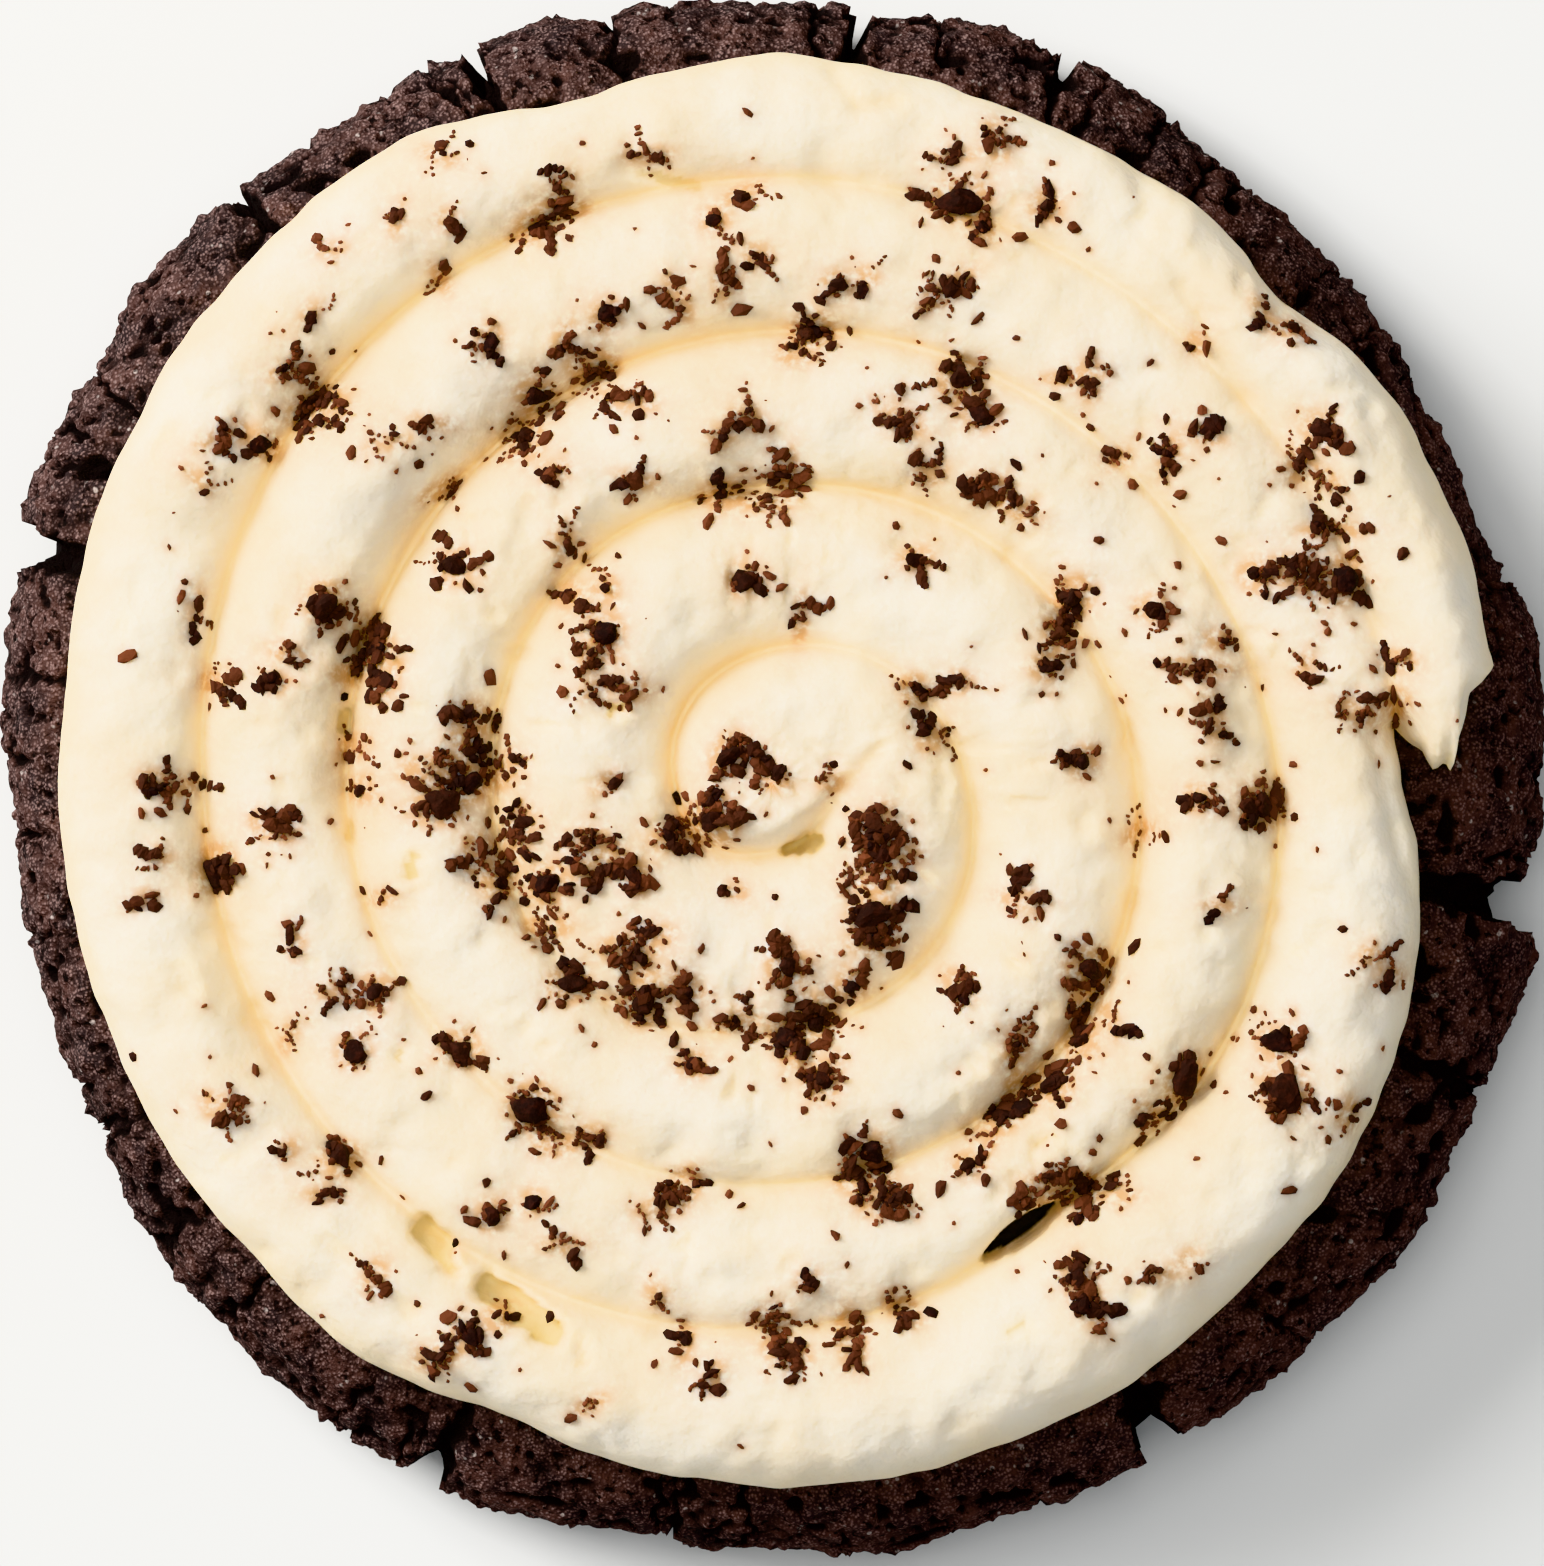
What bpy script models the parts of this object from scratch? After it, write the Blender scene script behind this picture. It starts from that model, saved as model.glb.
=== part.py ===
"""A cookies and cream cookie: a thick dark chocolate cookie with a rough, split rim, and on it one rope
of cream piped in a spiral and sprinkled with crushed cookie.

The file is in metres, +Z up, with the origin in the middle of the flat underside. The sizes below are
in millimetres. Turns and angles run clockwise as seen from above, starting at +X, because the rope is
wound that way.
"""

import math
import random

import bmesh
import bpy
import numpy as np
from mathutils import Matrix, Vector
from mathutils.bvhtree import BVHTree

MM = 0.001
GAP = 0.3

# The cookie.
COOKIE_THICKNESS = 13.5
COOKIE_WIDEST_AT = 5.5  # height of the widest place
COOKIE_FOOT = 2.2  # how far the lower edge is rounded in
COOKIE_SHOULDER = 9.0  # how far the upper edge is rounded in
COOKIE_ROUGHNESS = 0.28
COOKIE_COLUMNS = 84
COOKIE_SIDE_ROWS = 13
# Radius of the cookie's outline, every 15 degrees.
COOKIE_RADII = (
    54.8, 55.6, 55.6, 55.5, 55.4, 55.1, 54.7, 54.6, 55.4, 55.0, 54.3, 53.8,
    54.4, 55.8, 56.7, 57.2, 56.3, 56.6, 55.7, 56.2, 55.2, 54.4, 53.9, 54.6,
)
# Splits in the rim: angle, depth and width in degrees.
SPLITS = (
    (9.5, 4.0, 4.5), (59.5, 3.3, 4.5), (98.0, 0.9, 2.0), (116.5, 1.6, 2.6), (197.8, 3.2, 3.6),
    (228.5, 1.6, 2.0), (247.5, 3.0, 2.0), (258.2, 1.0, 1.6), (277.0, 3.0, 2.2), (292.3, 2.0, 2.4),
)

# The rope of cream.
ROPE_HEIGHT = 9.6
ROPE_START = -0.36  # turns
GROOVE_START = 0.0
ROPE_END = 4 + 354.8 / 360
ROPE_COLUMNS_A_TURN = 80
ROPE_ROWS = 6
ROPE_EQUATOR = 3.8  # height of the widest place of the outer flank, above the rope's underside
ROPE_UNDERCUT = 1.7
# Distance of the groove between two turns from the middle, every eighth of a turn.
GROOVE_RADII = (
    4.4, 4.1, 4.7, 6.1, 6.8, 8.0, 9.3, 11.4,
    13.7, 16.1, 17.4, 19.2, 19.4, 20.2, 20.6, 22.7,
    25.5, 27.3, 28.0, 28.7, 29.6, 30.2, 31.4, 32.8,
    35.3, 37.0, 38.1, 38.9, 39.6, 41.6, 42.0, 42.1,
)
# Distance of the last turn's outer side from the middle, every 15 degrees.
OUTER_RADII = (
    43.9, 46.9, 48.0, 48.3, 48.8, 49.1, 49.3, 48.9, 49.2, 49.2, 49.2, 49.7, 49.7,
    50.3, 51.3, 51.7, 51.8, 50.4, 50.8, 50.3, 49.8, 50.3, 51.0, 51.1, 49.6,
)
# Small bends of the groove or of the outer side: turns, distance, width in turns.
GROOVE_BENDS = ((3.155, -1.7, 0.045), (4.311, -1.0, 0.018), (4.703, -0.6, 0.02), (4.879, -1.1, 0.013))
# Depth of the groove below the crest, every eighth of a turn: shallow where two turns have merged.
GROOVE_DEPTHS = (
    1.4, 2.6, 3.2, 2.6, 3.4, 3.4, 2.8, 1.4,
    2.4, 2.6, 1.6, 1.6, 2.6, 3.0, 2.8, 2.0,
    2.6, 2.6, 1.8, 1.6, 2.6, 3.2, 2.6, 1.4,
    2.4, 2.8, 1.8, 1.6, 2.4, 3.0, 2.0, 1.2,
)
TAIL_REACH = 3.4  # degrees that the tip of the rope's end reaches past its inner corner
TAIL_ROUNDING = 4.5
STEP_AT_TAIL = 1.5  # how far the outer side steps in just before the rope's end
# A tear through the cream: place, length, width, turn in degrees from +X.
TEAR_PLACE = (17.4, -31.2)
TEAR_SIZE = (7.6, 1.9)
TEAR_TURN = 36.0

# The largest crumbs: place, length, width and turn in degrees, largest first.
CRUMBS = (
    (20, -28, 4.6, 2.4, 5), (-4, -2.5, 3.3, 3, -30), (13, 40.5, 3.7, 2.6, 10),
    (7.5, -3.5, 3.9, 2.5, 85), (-16.5, -22.5, 3, 3, 0), (-9, -15, 3.5, 2.6, 80),
    (-31.5, 26, 3.8, 2.4, 15), (35.5, -21.5, 3, 2.9, 0), (21.5, -35, 4.2, 2.1, -70),
    (-27.5, 9.5, 3.6, 2.4, -70), (13, 28, 3, 2.8, -60), (34, -1.5, 3, 2.8, -20),
    (3, -16.5, 3.2, 2.6, 90), (39.5, 14, 3, 2.6, 80), (-23, -1.5, 3.3, 2.4, 20),
    (36.5, 14.5, 3.5, 2.1, -20), (-38.5, -6, 3, 2.4, 80), (7, -9, 3, 2.4, 0),
    (22, -13, 3, 2.4, -20), (-15.5, -7, 2.6, 2.5, 0), (-23.5, 1, 3.9, 1.7, 10),
    (-3, 2, 3, 2.1, 60), (28.5, -20.5, 3, 2.1, 70), (-10, -11.5, 3.5, 1.8, 0),
    (6.5, -27.5, 3.5, 1.8, 5), (5.5, -38.5, 3.5, 1.8, -80), (-31, 12.5, 2.5, 2.4, 30),
    (1, -12.5, 2.5, 2.4, 0), (-14, -14, 2.6, 2.2, 0), (12, 34, 4.2, 1.4, 35),
    (-17.5, -3.5, 3.5, 1.7, 85), (1, -18, 2.8, 2.1, -60), (-21.5, -18.5, 2.8, 2.1, -20),
    (-21, 4, 2.9, 1.9, 80), (3.5, -20.5, 2.4, 2.4, 0), (21, 13, 2.5, 2.2, 60),
    (-12.5, 29, 3, 1.8, 0), (-34.5, -3, 3, 1.8, -20), (7, -6.5, 3, 1.8, -10),
    (-6.5, -3.5, 3, 1.7, 20), (7, -11, 3, 1.7, 0), (20, 10.5, 2.8, 1.8, 70),
    (-17, 24, 2.4, 2.1, 80), (-22, 15, 2.4, 2.1, -45), (35, -18, 2.4, 2.1, -20),
    (-30, -26, 2.5, 1.9, 10), (1, -39.5, 2.9, 1.7, -20), (2, 30, 2.6, 1.8, 10),
    (-42, 0, 3, 1.5, -15), (9, 25, 2.8, 1.7, -20), (-11.5, 10.5, 2.2, 2.1, 0),
    (3, 31.5, 2.4, 1.9, -20), (-29, -18.5, 2.1, 2.1, -30), (7, -25.5, 2.1, 2.1, 60),
    (38, 24.5, 2.2, 1.9, -40), (29.5, 8, 3.9, 1.1, -5), (-12.5, -4, 2.8, 1.5, -10),
    (16, -23.5, 2.8, 1.5, 35), (21.5, -15.5, 2.8, 1.5, 85), (-38, -22.5, 2.5, 1.7, -25),
    (-6, -28, 2.5, 1.7, 60), (-16.5, 38.5, 2.1, 1.9, 0), (19.5, -21, 2.1, 1.9, -40),
    (-27.5, -14.5, 2.2, 1.8, 90), (23, -28.5, 3.6, 1.1, 0), (-10, 26.5, 3.2, 1.2, -8),
    (-9.5, -6.5, 2.4, 1.7, -60), (15, 20.5, 2.5, 1.5, 0), (17, -18, 2.5, 1.5, 70),
    (39, 17.5, 3.9, 1, 0), (-16.5, 27, 2.1, 1.8, 0), (14.5, 25.5, 2.1, 1.8, -20),
    (-21, 0, 2.1, 1.8, -30), (-6, -14.5, 2.2, 1.7, -70), (26.5, 12, 2.2, 1.7, -20),
    (22, 28, 2.6, 1.4, 90), (-12, -6, 2.6, 1.4, 10), (9, -36.5, 2.6, 1.4, -40),
    (-20.5, -5, 2.4, 1.5, 80), (-21.5, -38.5, 2.4, 1.5, 30), (8, -29.5, 2.8, 1.2, 0),
    (30.5, 4.5, 2.8, 1.2, -75), (21.5, -18, 2.1, 1.7, 50), (-0.5, 19.5, 3, 1.1, -5),
    (0, 0.5, 2.2, 1.5, -30), (-2.5, -16.5, 2.6, 1.2, 10), (15.5, 44.5, 2.4, 1.4, -70),
    (40.5, 5, 2.4, 1.4, -15), (-2, 14, 1.8, 1.8, 60), (5.5, -14, 1.8, 1.8, 0),
    (21.5, 1.5, 1.8, 1.8, 0), (-3.5, 20, 1.9, 1.7, 0), (-19, -7, 1.9, 1.7, 0),
    (-35.5, 23.5, 2.1, 1.5, -30), (-15.5, -10, 2.5, 1.2, 0), (-18.5, 1, 2.2, 1.4, 70),
)
CRUMB_FULLNESS = 1.12  # makes up for the corners that the sides cut off
CRUMB_THICKNESS = 0.75  # as a share of a crumb's width
CRUMB_SUNK = 0.35  # share of a crumb's thickness that is in the cream
CRUMB_SEED = 11
# A smaller crumb lies beside each of the first ones.
PAIRED_CRUMBS = 32
PAIRED_SHARE = 0.6

COOKIE_BROWN = (0.035, 0.018, 0.015, 1)
CREAM_WHITE = (0.87, 0.80, 0.66, 1)
CRUMB_BROWN = (0.028, 0.012, 0.008, 1)


def clear_scene():
    for item in list(bpy.data.objects):
        bpy.data.objects.remove(item, do_unlink=True)


def material(name, colour, roughness):
    made = bpy.data.materials.new(name)
    made.use_nodes = True
    shader = made.node_tree.nodes["Principled BSDF"]
    shader.inputs["Base Color"].default_value = colour
    shader.inputs["Roughness"].default_value = roughness
    shader.inputs["Metallic"].default_value = 0.0
    return made


def mesh_object(name, points, faces, *materials):
    """An object from points in millimetres."""
    mesh = bpy.data.meshes.new(name)
    mesh.from_pydata((np.asarray(points) * MM).tolist(), [], faces)
    for each in materials:
        mesh.materials.append(each)
    mesh.validate()
    made = bpy.data.objects.new(name, mesh)
    bpy.context.scene.collection.objects.link(made)
    return made


def smooth_through(values, step, start, at):
    """A smooth curve through values that are a step apart from start on, each piece a cubic."""
    values = np.asarray(values, float)
    slopes = np.gradient(values)
    place = np.clip((np.asarray(at, float) - start) / step, 0, len(values) - 1)
    index = np.minimum(place.astype(int), len(values) - 2)
    t = place - index
    return (
        values[index] * (1 + 2 * t) * (1 - t) ** 2
        + slopes[index] * t * (1 - t) ** 2
        + values[index + 1] * t * t * (3 - 2 * t)
        + slopes[index + 1] * t * t * (t - 1)
    )


def smoothstep(low, high, at):
    t = np.clip((at - low) / (high - low), 0, 1)
    return t * t * (3 - 2 * t)


def lumps(x, y, z, size, seed):
    """Smooth unevenness from -1 to 1: the mean of slanted waves about so many millimetres long."""
    draw = np.random.default_rng(seed)
    total = 0.0
    for _ in range(6):
        way = draw.normal(size=3)
        way *= 2 * np.pi / (size * draw.uniform(0.7, 1.4) * np.linalg.norm(way))
        total = total + np.sin(way[0] * x + way[1] * y + way[2] * z + draw.uniform(0, 6.28))
    return total / 3


# The cookie: rings of points from the underside, over the rim, to the flat top that carries the cream.


def cookie_angles():
    """Even angles, with three more at each split."""
    even = np.arange(COOKIE_COLUMNS) * 360 / COOKIE_COLUMNS
    extra = [at + side * width / 2 for at, _, width in SPLITS for side in (-1, 0, 1)]
    keep = [a for a in even if min(abs(a - b) for b in extra) > 1.2]
    return np.sort(np.array(keep + extra))


def cookie_outline(angles):
    closed = COOKIE_RADII + COOKIE_RADII[:1]
    radius = smooth_through(closed, 15.0, 0.0, angles)
    for at, depth, width in SPLITS:
        radius -= depth * np.clip(1 - np.abs(angles - at) / (width / 2), 0, 1)
    return radius


def cookie_profile():
    """(distance in from the outline, height) from the foot to the top."""
    foot = [
        (COOKIE_FOOT * (1 - math.sin(a)), COOKIE_WIDEST_AT * (1 - math.cos(a)))
        for a in np.linspace(0, math.pi / 2, 5)
    ]
    rise = COOKIE_THICKNESS - COOKIE_WIDEST_AT
    shoulder = [
        (COOKIE_SHOULDER * (1 - math.cos(a)), COOKIE_WIDEST_AT + rise * math.sin(a))
        for a in np.linspace(0, math.pi / 2, COOKIE_SIDE_ROWS - 4)[1:]
    ]
    return foot + shoulder


def build_cookie():
    angles = cookie_angles()
    outline = cookie_outline(angles)
    whole = smooth_through(COOKIE_RADII + COOKIE_RADII[:1], 15.0, 0.0, angles)
    turn = np.radians(angles)
    profile = cookie_profile()
    rings = []
    for inset, height in profile:
        fade = max(math.sin(math.pi * height / COOKIE_THICKNESS), 0.0)
        radius = whole - inset - (whole - outline) * (1 - 0.6 * inset / COOKIE_SHOULDER)
        x, y = radius * np.cos(turn), -radius * np.sin(turn)
        z = np.full_like(x, height)
        rough = COOKIE_ROUGHNESS * fade * (lumps(x, y, z, 14, 3) + 0.7 * lumps(x, y, z, 6, 4))
        radius = radius + rough
        z = z + 1.2 * rough * (height > COOKIE_WIDEST_AT)
        rings.append(np.stack([radius * np.cos(turn), -radius * np.sin(turn), z], axis=1))
    rings[0][:, 2] = 0.0
    rings[-1][:, 2] = COOKIE_THICKNESS
    points = np.concatenate(rings)
    count = len(angles)
    faces = []
    for low in range(len(profile) - 1):
        for i in range(count):
            j = (i + 1) % count
            a, b = low * count + i, low * count + j
            faces.append((a, a + count, b + count, b))
    faces.append(tuple(range(count)))
    faces.append(tuple(range(len(points) - 1, len(points) - 1 - count, -1)))
    return mesh_object("cookie", points, faces, material("cookie", COOKIE_BROWN, 0.85))


# The cream: a rope whose inner side follows the groove of the turn before.


def groove_radius(turns):
    """Distance of the rope's outer boundary from the middle; it starts from nothing."""
    early = GROOVE_RADII[0] * smoothstep(ROPE_START, 0.0, turns)
    middle = smooth_through(GROOVE_RADII + (OUTER_RADII[0],), 0.125, 0.0, turns)
    last = smooth_through(OUTER_RADII, 1 / 24, 4.0, turns)
    radius = np.where(turns < 0, early, np.where(turns < 4, middle, last))
    for at, shift, width in GROOVE_BENDS:
        radius = radius + shift * np.exp(-(((turns - at) / width) ** 2))
    return radius - STEP_AT_TAIL * smoothstep(4 + 348.6 / 360, 4 + 351.4 / 360, turns)


def crest_height(turns):
    """Even in the middle, where the turns meet in one point, and a little uneven further out."""
    uneven = 0.25 * np.sin(9.0 * turns) + 0.2 * np.sin(23.0 * turns + 1.0)
    return ROPE_HEIGHT + uneven * smoothstep(0.6, 1.6, turns)


def tail_fall(turns):
    """1 along the rope, and down to 0 in a rounded way at its end."""
    left = (ROPE_END - turns) * 2 * np.pi * OUTER_RADII[-1]
    t = np.clip(1 - left / TAIL_ROUNDING, 0, 1)
    return np.sqrt(1 - t * t)


def groove_height(turns):
    """Height of the groove at the rope's outer boundary, which is free along the last turn."""
    depth = smooth_through(GROOVE_DEPTHS, 0.125, 0.0, turns)
    depth = depth * smoothstep(GROOVE_START, GROOVE_START + 0.2, turns)
    height = crest_height(turns) - depth
    covered = np.where(turns < ROPE_END - 1, tail_fall(turns + 1), 0.0)
    return ROPE_EQUATOR + (height - ROPE_EQUATOR) * covered


def rope_height(turns, across):
    """Height over the rope, from its inner side (across 0) to its outer side (across 1)."""
    inner = groove_height(turns - 1)
    outer = groove_height(turns)
    crest = crest_height(turns)
    away = np.abs(2 * across - 1)
    free = smoothstep(ROPE_END - 1.02, ROPE_END - 0.99, turns)
    arch = 1 - away**2.3
    quarter = np.sqrt(1 - away**2)
    inward = inner + (crest - inner) * arch
    outward = outer + (crest - outer) * (arch + (quarter - arch) * free)
    height = np.where(across < 0.5, inward, outward)
    return ROPE_EQUATOR + (height - ROPE_EQUATOR) * tail_fall(turns)


def tail_reach(across):
    """Turns by which the rope's end reaches forward, most near the middle of the rope."""
    bulge = np.where(across < 0.45, (across - 0.45) / 0.45, (across - 0.45) / 0.55 * 1.2)
    return TAIL_REACH / 360 * (1 - bulge**2)


def rope_grid():
    """Points of the top of the rope, and the number of each (column, row); a row is shared by two turns."""
    columns = int(round((ROPE_END - ROPE_START) * ROPE_COLUMNS_A_TURN))
    turns = ROPE_END - (columns - np.arange(columns + 1)) / ROPE_COLUMNS_A_TURN
    across = np.arange(ROPE_ROWS + 1) / ROPE_ROWS
    turns, across = np.meshgrid(turns, across, indexing="ij")
    near_end = smoothstep(ROPE_END - 0.04, ROPE_END, turns)
    bent = turns + tail_reach(across) * near_end
    inner = np.where(turns - 1 > ROPE_START, groove_radius(turns - 1), 0)
    radius = inner + across * (groove_radius(turns) - inner)
    x = radius * np.cos(2 * np.pi * bent)
    y = -radius * np.sin(2 * np.pi * bent)
    z = rope_height(turns, across)
    z = z + 0.25 * lumps(x, y, 0 * x, 11, 8) * (z > ROPE_EQUATOR + 0.5)
    numbers = np.zeros(turns.shape, int)
    points = [(0.0, 0.0, float(crest_height(0.0)))]
    for i in range(columns + 1):
        shared = i - ROPE_COLUMNS_A_TURN
        numbers[i, 0] = numbers[shared, ROPE_ROWS] if shared > 0 else 0
        for j in range(1, ROPE_ROWS + 1):
            if i == 0:
                continue
            numbers[i, j] = len(points)
            points.append((x[i, j], y[i, j], z[i, j]))
    return points, numbers


def rope_edge(numbers):
    """The closed row of points round the outside: the last turn's outer side, then the rope's end."""
    last = numbers.shape[0] - 1
    side = [numbers[i, ROPE_ROWS] for i in range(last - ROPE_COLUMNS_A_TURN, last + 1)]
    end = [numbers[last, j] for j in range(ROPE_ROWS - 1, 0, -1)]
    return side + end


def inward(loop):
    """The directions into the outline at each of its points, evened out over its neighbours."""
    along = np.roll(loop, -1, axis=0) - np.roll(loop, 1, axis=0)
    normal = np.stack([along[:, 1], -along[:, 0]], axis=1)
    for _ in range(6):
        normal = normal + 0.5 * (np.roll(normal, 1, axis=0) + np.roll(normal, -1, axis=0))
        normal /= np.linalg.norm(normal, axis=1, keepdims=True)
    toward_middle = -np.sum(normal * loop, axis=1).mean()
    return normal * np.sign(toward_middle)


def build_cream():
    points, numbers = rope_grid()
    faces = []
    columns, rows = numbers.shape
    for i in range(columns - 1):
        for j in range(rows - 1):
            corner = [numbers[i, j], numbers[i + 1, j], numbers[i + 1, j + 1], numbers[i, j + 1]]
            face = [c for k, c in enumerate(corner) if c != corner[k - 1]]
            if len(set(face)) > 2:
                faces.append(tuple(int(c) for c in face))
    edge = rope_edge(numbers)
    loop = np.array([points[n][:2] for n in edge])
    way = inward(loop)
    above = list(edge)
    for inset, height in ((0.25, 0.55), (0.8, 0.2), (1.0, 0.0)):
        ring = []
        for (x, y), (dx, dy) in zip(loop, way):
            ring.append(len(points))
            reach = inset * ROPE_UNDERCUT
            points.append((x + dx * reach, y + dy * reach, height * ROPE_EQUATOR))
        for k in range(len(ring)):
            n = (k + 1) % len(ring)
            faces.append((int(above[k]), int(above[n]), ring[n], ring[k]))
        above = ring
    faces.append(tuple(above))
    points = np.array(points)
    points[:, 2] += COOKIE_THICKNESS + GAP
    cream = mesh_object(
        "cream_swirl",
        points,
        faces,
        material("cream", CREAM_WHITE, 0.45),
        material("crumb", CRUMB_BROWN, 0.8),
    )
    face_outwards(cream)
    return cream


def face_outwards(item):
    shape = bmesh.new()
    shape.from_mesh(item.data)
    bmesh.ops.recalc_face_normals(shape, faces=shape.faces)
    bmesh.ops.triangulate(shape, faces=shape.faces)
    shape.to_mesh(item.data)
    shape.free()


def apply_boolean(item, operation, solver, **operand):
    """Carries out one Boolean on the object and keeps its result as the mesh."""
    step = item.modifiers.new(operation, "BOOLEAN")
    step.operation = operation
    step.solver = solver
    for key, value in operand.items():
        setattr(step, key, value)
    graph = bpy.context.evaluated_depsgraph_get()
    result = bpy.data.meshes.new_from_object(item.evaluated_get(graph), depsgraph=graph)
    item.modifiers.clear()
    item.data = result


def cut_tear(cream):
    """A slit torn through the cream: a lens-shaped cutter, from below the cream to above it."""
    length, width = TEAR_SIZE
    sides = 7
    half = [(length * (k / sides - 0.5), width / 2 * math.sin(math.pi * k / sides)) for k in range(sides)]
    outline = half + [(-x, -y) for x, y in half]
    turn = math.radians(TEAR_TURN)
    flat = [
        (
            TEAR_PLACE[0] + x * math.cos(turn) - y * math.sin(turn),
            TEAR_PLACE[1] + x * math.sin(turn) + y * math.cos(turn),
        )
        for x, y in outline
    ]
    low, high = COOKIE_THICKNESS - 1, COOKIE_THICKNESS + 2 * ROPE_HEIGHT
    count = len(flat)
    points = [(x, y, z) for z in (low, high) for x, y in flat]
    faces = [tuple(range(count))[::-1], tuple(range(count, 2 * count))]
    faces += [(k, (k + 1) % count, count + (k + 1) % count, count + k) for k in range(count)]
    cutter = mesh_object("tear_cutter", points, faces)
    cutter.hide_render = True
    cutter.display_type = "WIRE"
    face_outwards(cutter)
    apply_boolean(cream, "DIFFERENCE", "EXACT", operand_type="OBJECT", object=cutter)
    bpy.data.objects.remove(cutter, do_unlink=True)


# The crumbs: flat, knobbly chips that stand out of the cream.


def crumb(name, place, normal, size, turn, draw, paint):
    """A jagged chip with 20 sides, laid on the cream with its foot sunk in."""
    shape = bmesh.new()
    bmesh.ops.create_icosphere(shape, subdivisions=1, radius=0.5)
    for vertex in shape.verts:
        vertex.co *= draw.uniform(0.8, 1.2)
        vertex.co.x *= size[0]
        vertex.co.y *= size[1]
        vertex.co.z *= size[2]
    lift = size[2] * (0.5 - CRUMB_SUNK)
    tilt = Vector((0, 0, 1)).rotation_difference(normal).to_matrix().to_4x4()
    spin = Matrix.Rotation(math.radians(turn), 4, "Z")
    shape.transform(Matrix.Translation(place + normal * lift) @ tilt @ spin)
    bmesh.ops.scale(shape, vec=(MM, MM, MM), verts=shape.verts)
    mesh = bpy.data.meshes.new(name)
    shape.to_mesh(mesh)
    shape.free()
    mesh.materials.append(paint)
    return bpy.data.objects.new(name, mesh)


def paired_crumbs(draw):
    """Smaller crumbs at the ends of the largest, at a random side."""
    pairs = []
    for x, y, length, width, turn in CRUMBS[:PAIRED_CRUMBS]:
        way = math.radians(turn + draw.choice((0, 180)) + draw.uniform(-50, 50))
        reach = 0.5 * length * (1 + PAIRED_SHARE) + draw.uniform(-0.2, 0.3)
        size = PAIRED_SHARE * width
        place = (x + reach * math.cos(way), y + reach * math.sin(way))
        pairs.append((*place, size * draw.uniform(1.0, 1.5), size, draw.uniform(0, 180)))
    return tuple(pairs)


def sprinkle(cream):
    """Lays the crumbs on the cream, joins them to it, and keeps the one large body that this gives."""
    draw = random.Random(CRUMB_SEED)
    surface = bmesh.new()
    surface.from_mesh(cream.data)
    bmesh.ops.scale(surface, vec=(1 / MM, 1 / MM, 1 / MM), verts=surface.verts)
    tree = BVHTree.FromBMesh(surface)
    surface.free()
    heap = bpy.data.collections.new("crumbs")
    bpy.context.scene.collection.children.link(heap)
    for number, (x, y, length, width, turn) in enumerate(CRUMBS + paired_crumbs(draw)):
        place, normal, _, _ = tree.ray_cast(Vector((x, y, 60)), Vector((0, 0, -1)))
        if place is None or normal.z < 0.3:
            continue
        thickness = CRUMB_THICKNESS * width * draw.uniform(0.8, 1.1)
        size = (length * CRUMB_FULLNESS, width * CRUMB_FULLNESS, min(thickness, 1.9))
        item = crumb(f"crumb_{number}", place, normal, size, turn, draw, cream.data.materials[1])
        heap.objects.link(item)
    apply_boolean(cream, "UNION", "MANIFOLD", operand_type="COLLECTION", collection=heap)
    for item in list(heap.objects):
        bpy.data.objects.remove(item, do_unlink=True)
    bpy.data.collections.remove(heap)
    keep_largest_body(cream)


def keep_largest_body(item):
    """Deletes loose scraps and the walls of any space that the joining sealed."""
    shape = bmesh.new()
    shape.from_mesh(item.data)
    left = set(shape.verts)
    bodies = []
    while left:
        start = left.pop()
        body, border = {start}, [start]
        while border:
            for edge in border.pop().link_edges:
                for other in edge.verts:
                    if other in left:
                        left.discard(other)
                        body.add(other)
                        border.append(other)
        bodies.append(body)
    bodies.sort(key=len)
    for body in bodies[:-1]:
        bmesh.ops.delete(shape, geom=list(body), context="VERTS")
    shape.to_mesh(item.data)
    shape.free()


def shade(item):
    item.data.shade_smooth()
    item.data.set_sharp_from_angle(angle=math.radians(50))


def main():
    clear_scene()
    cookie = build_cookie()
    face_outwards(cookie)
    cream = build_cream()
    cut_tear(cream)
    sprinkle(cream)
    for item in (cookie, cream):
        shade(item)


main()
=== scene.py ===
"""The looks of a cookies and cream cookie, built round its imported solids.

The object is put together as a baker does it: the dark cookie first, then the rope of cream piped on it,
then the crushed cookie that is sprinkled over the cream. Lengths are in millimetres until a mesh is made.
Turns and angles run clockwise as seen from above, starting at +X, because the rope is wound that way.
"""

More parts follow.
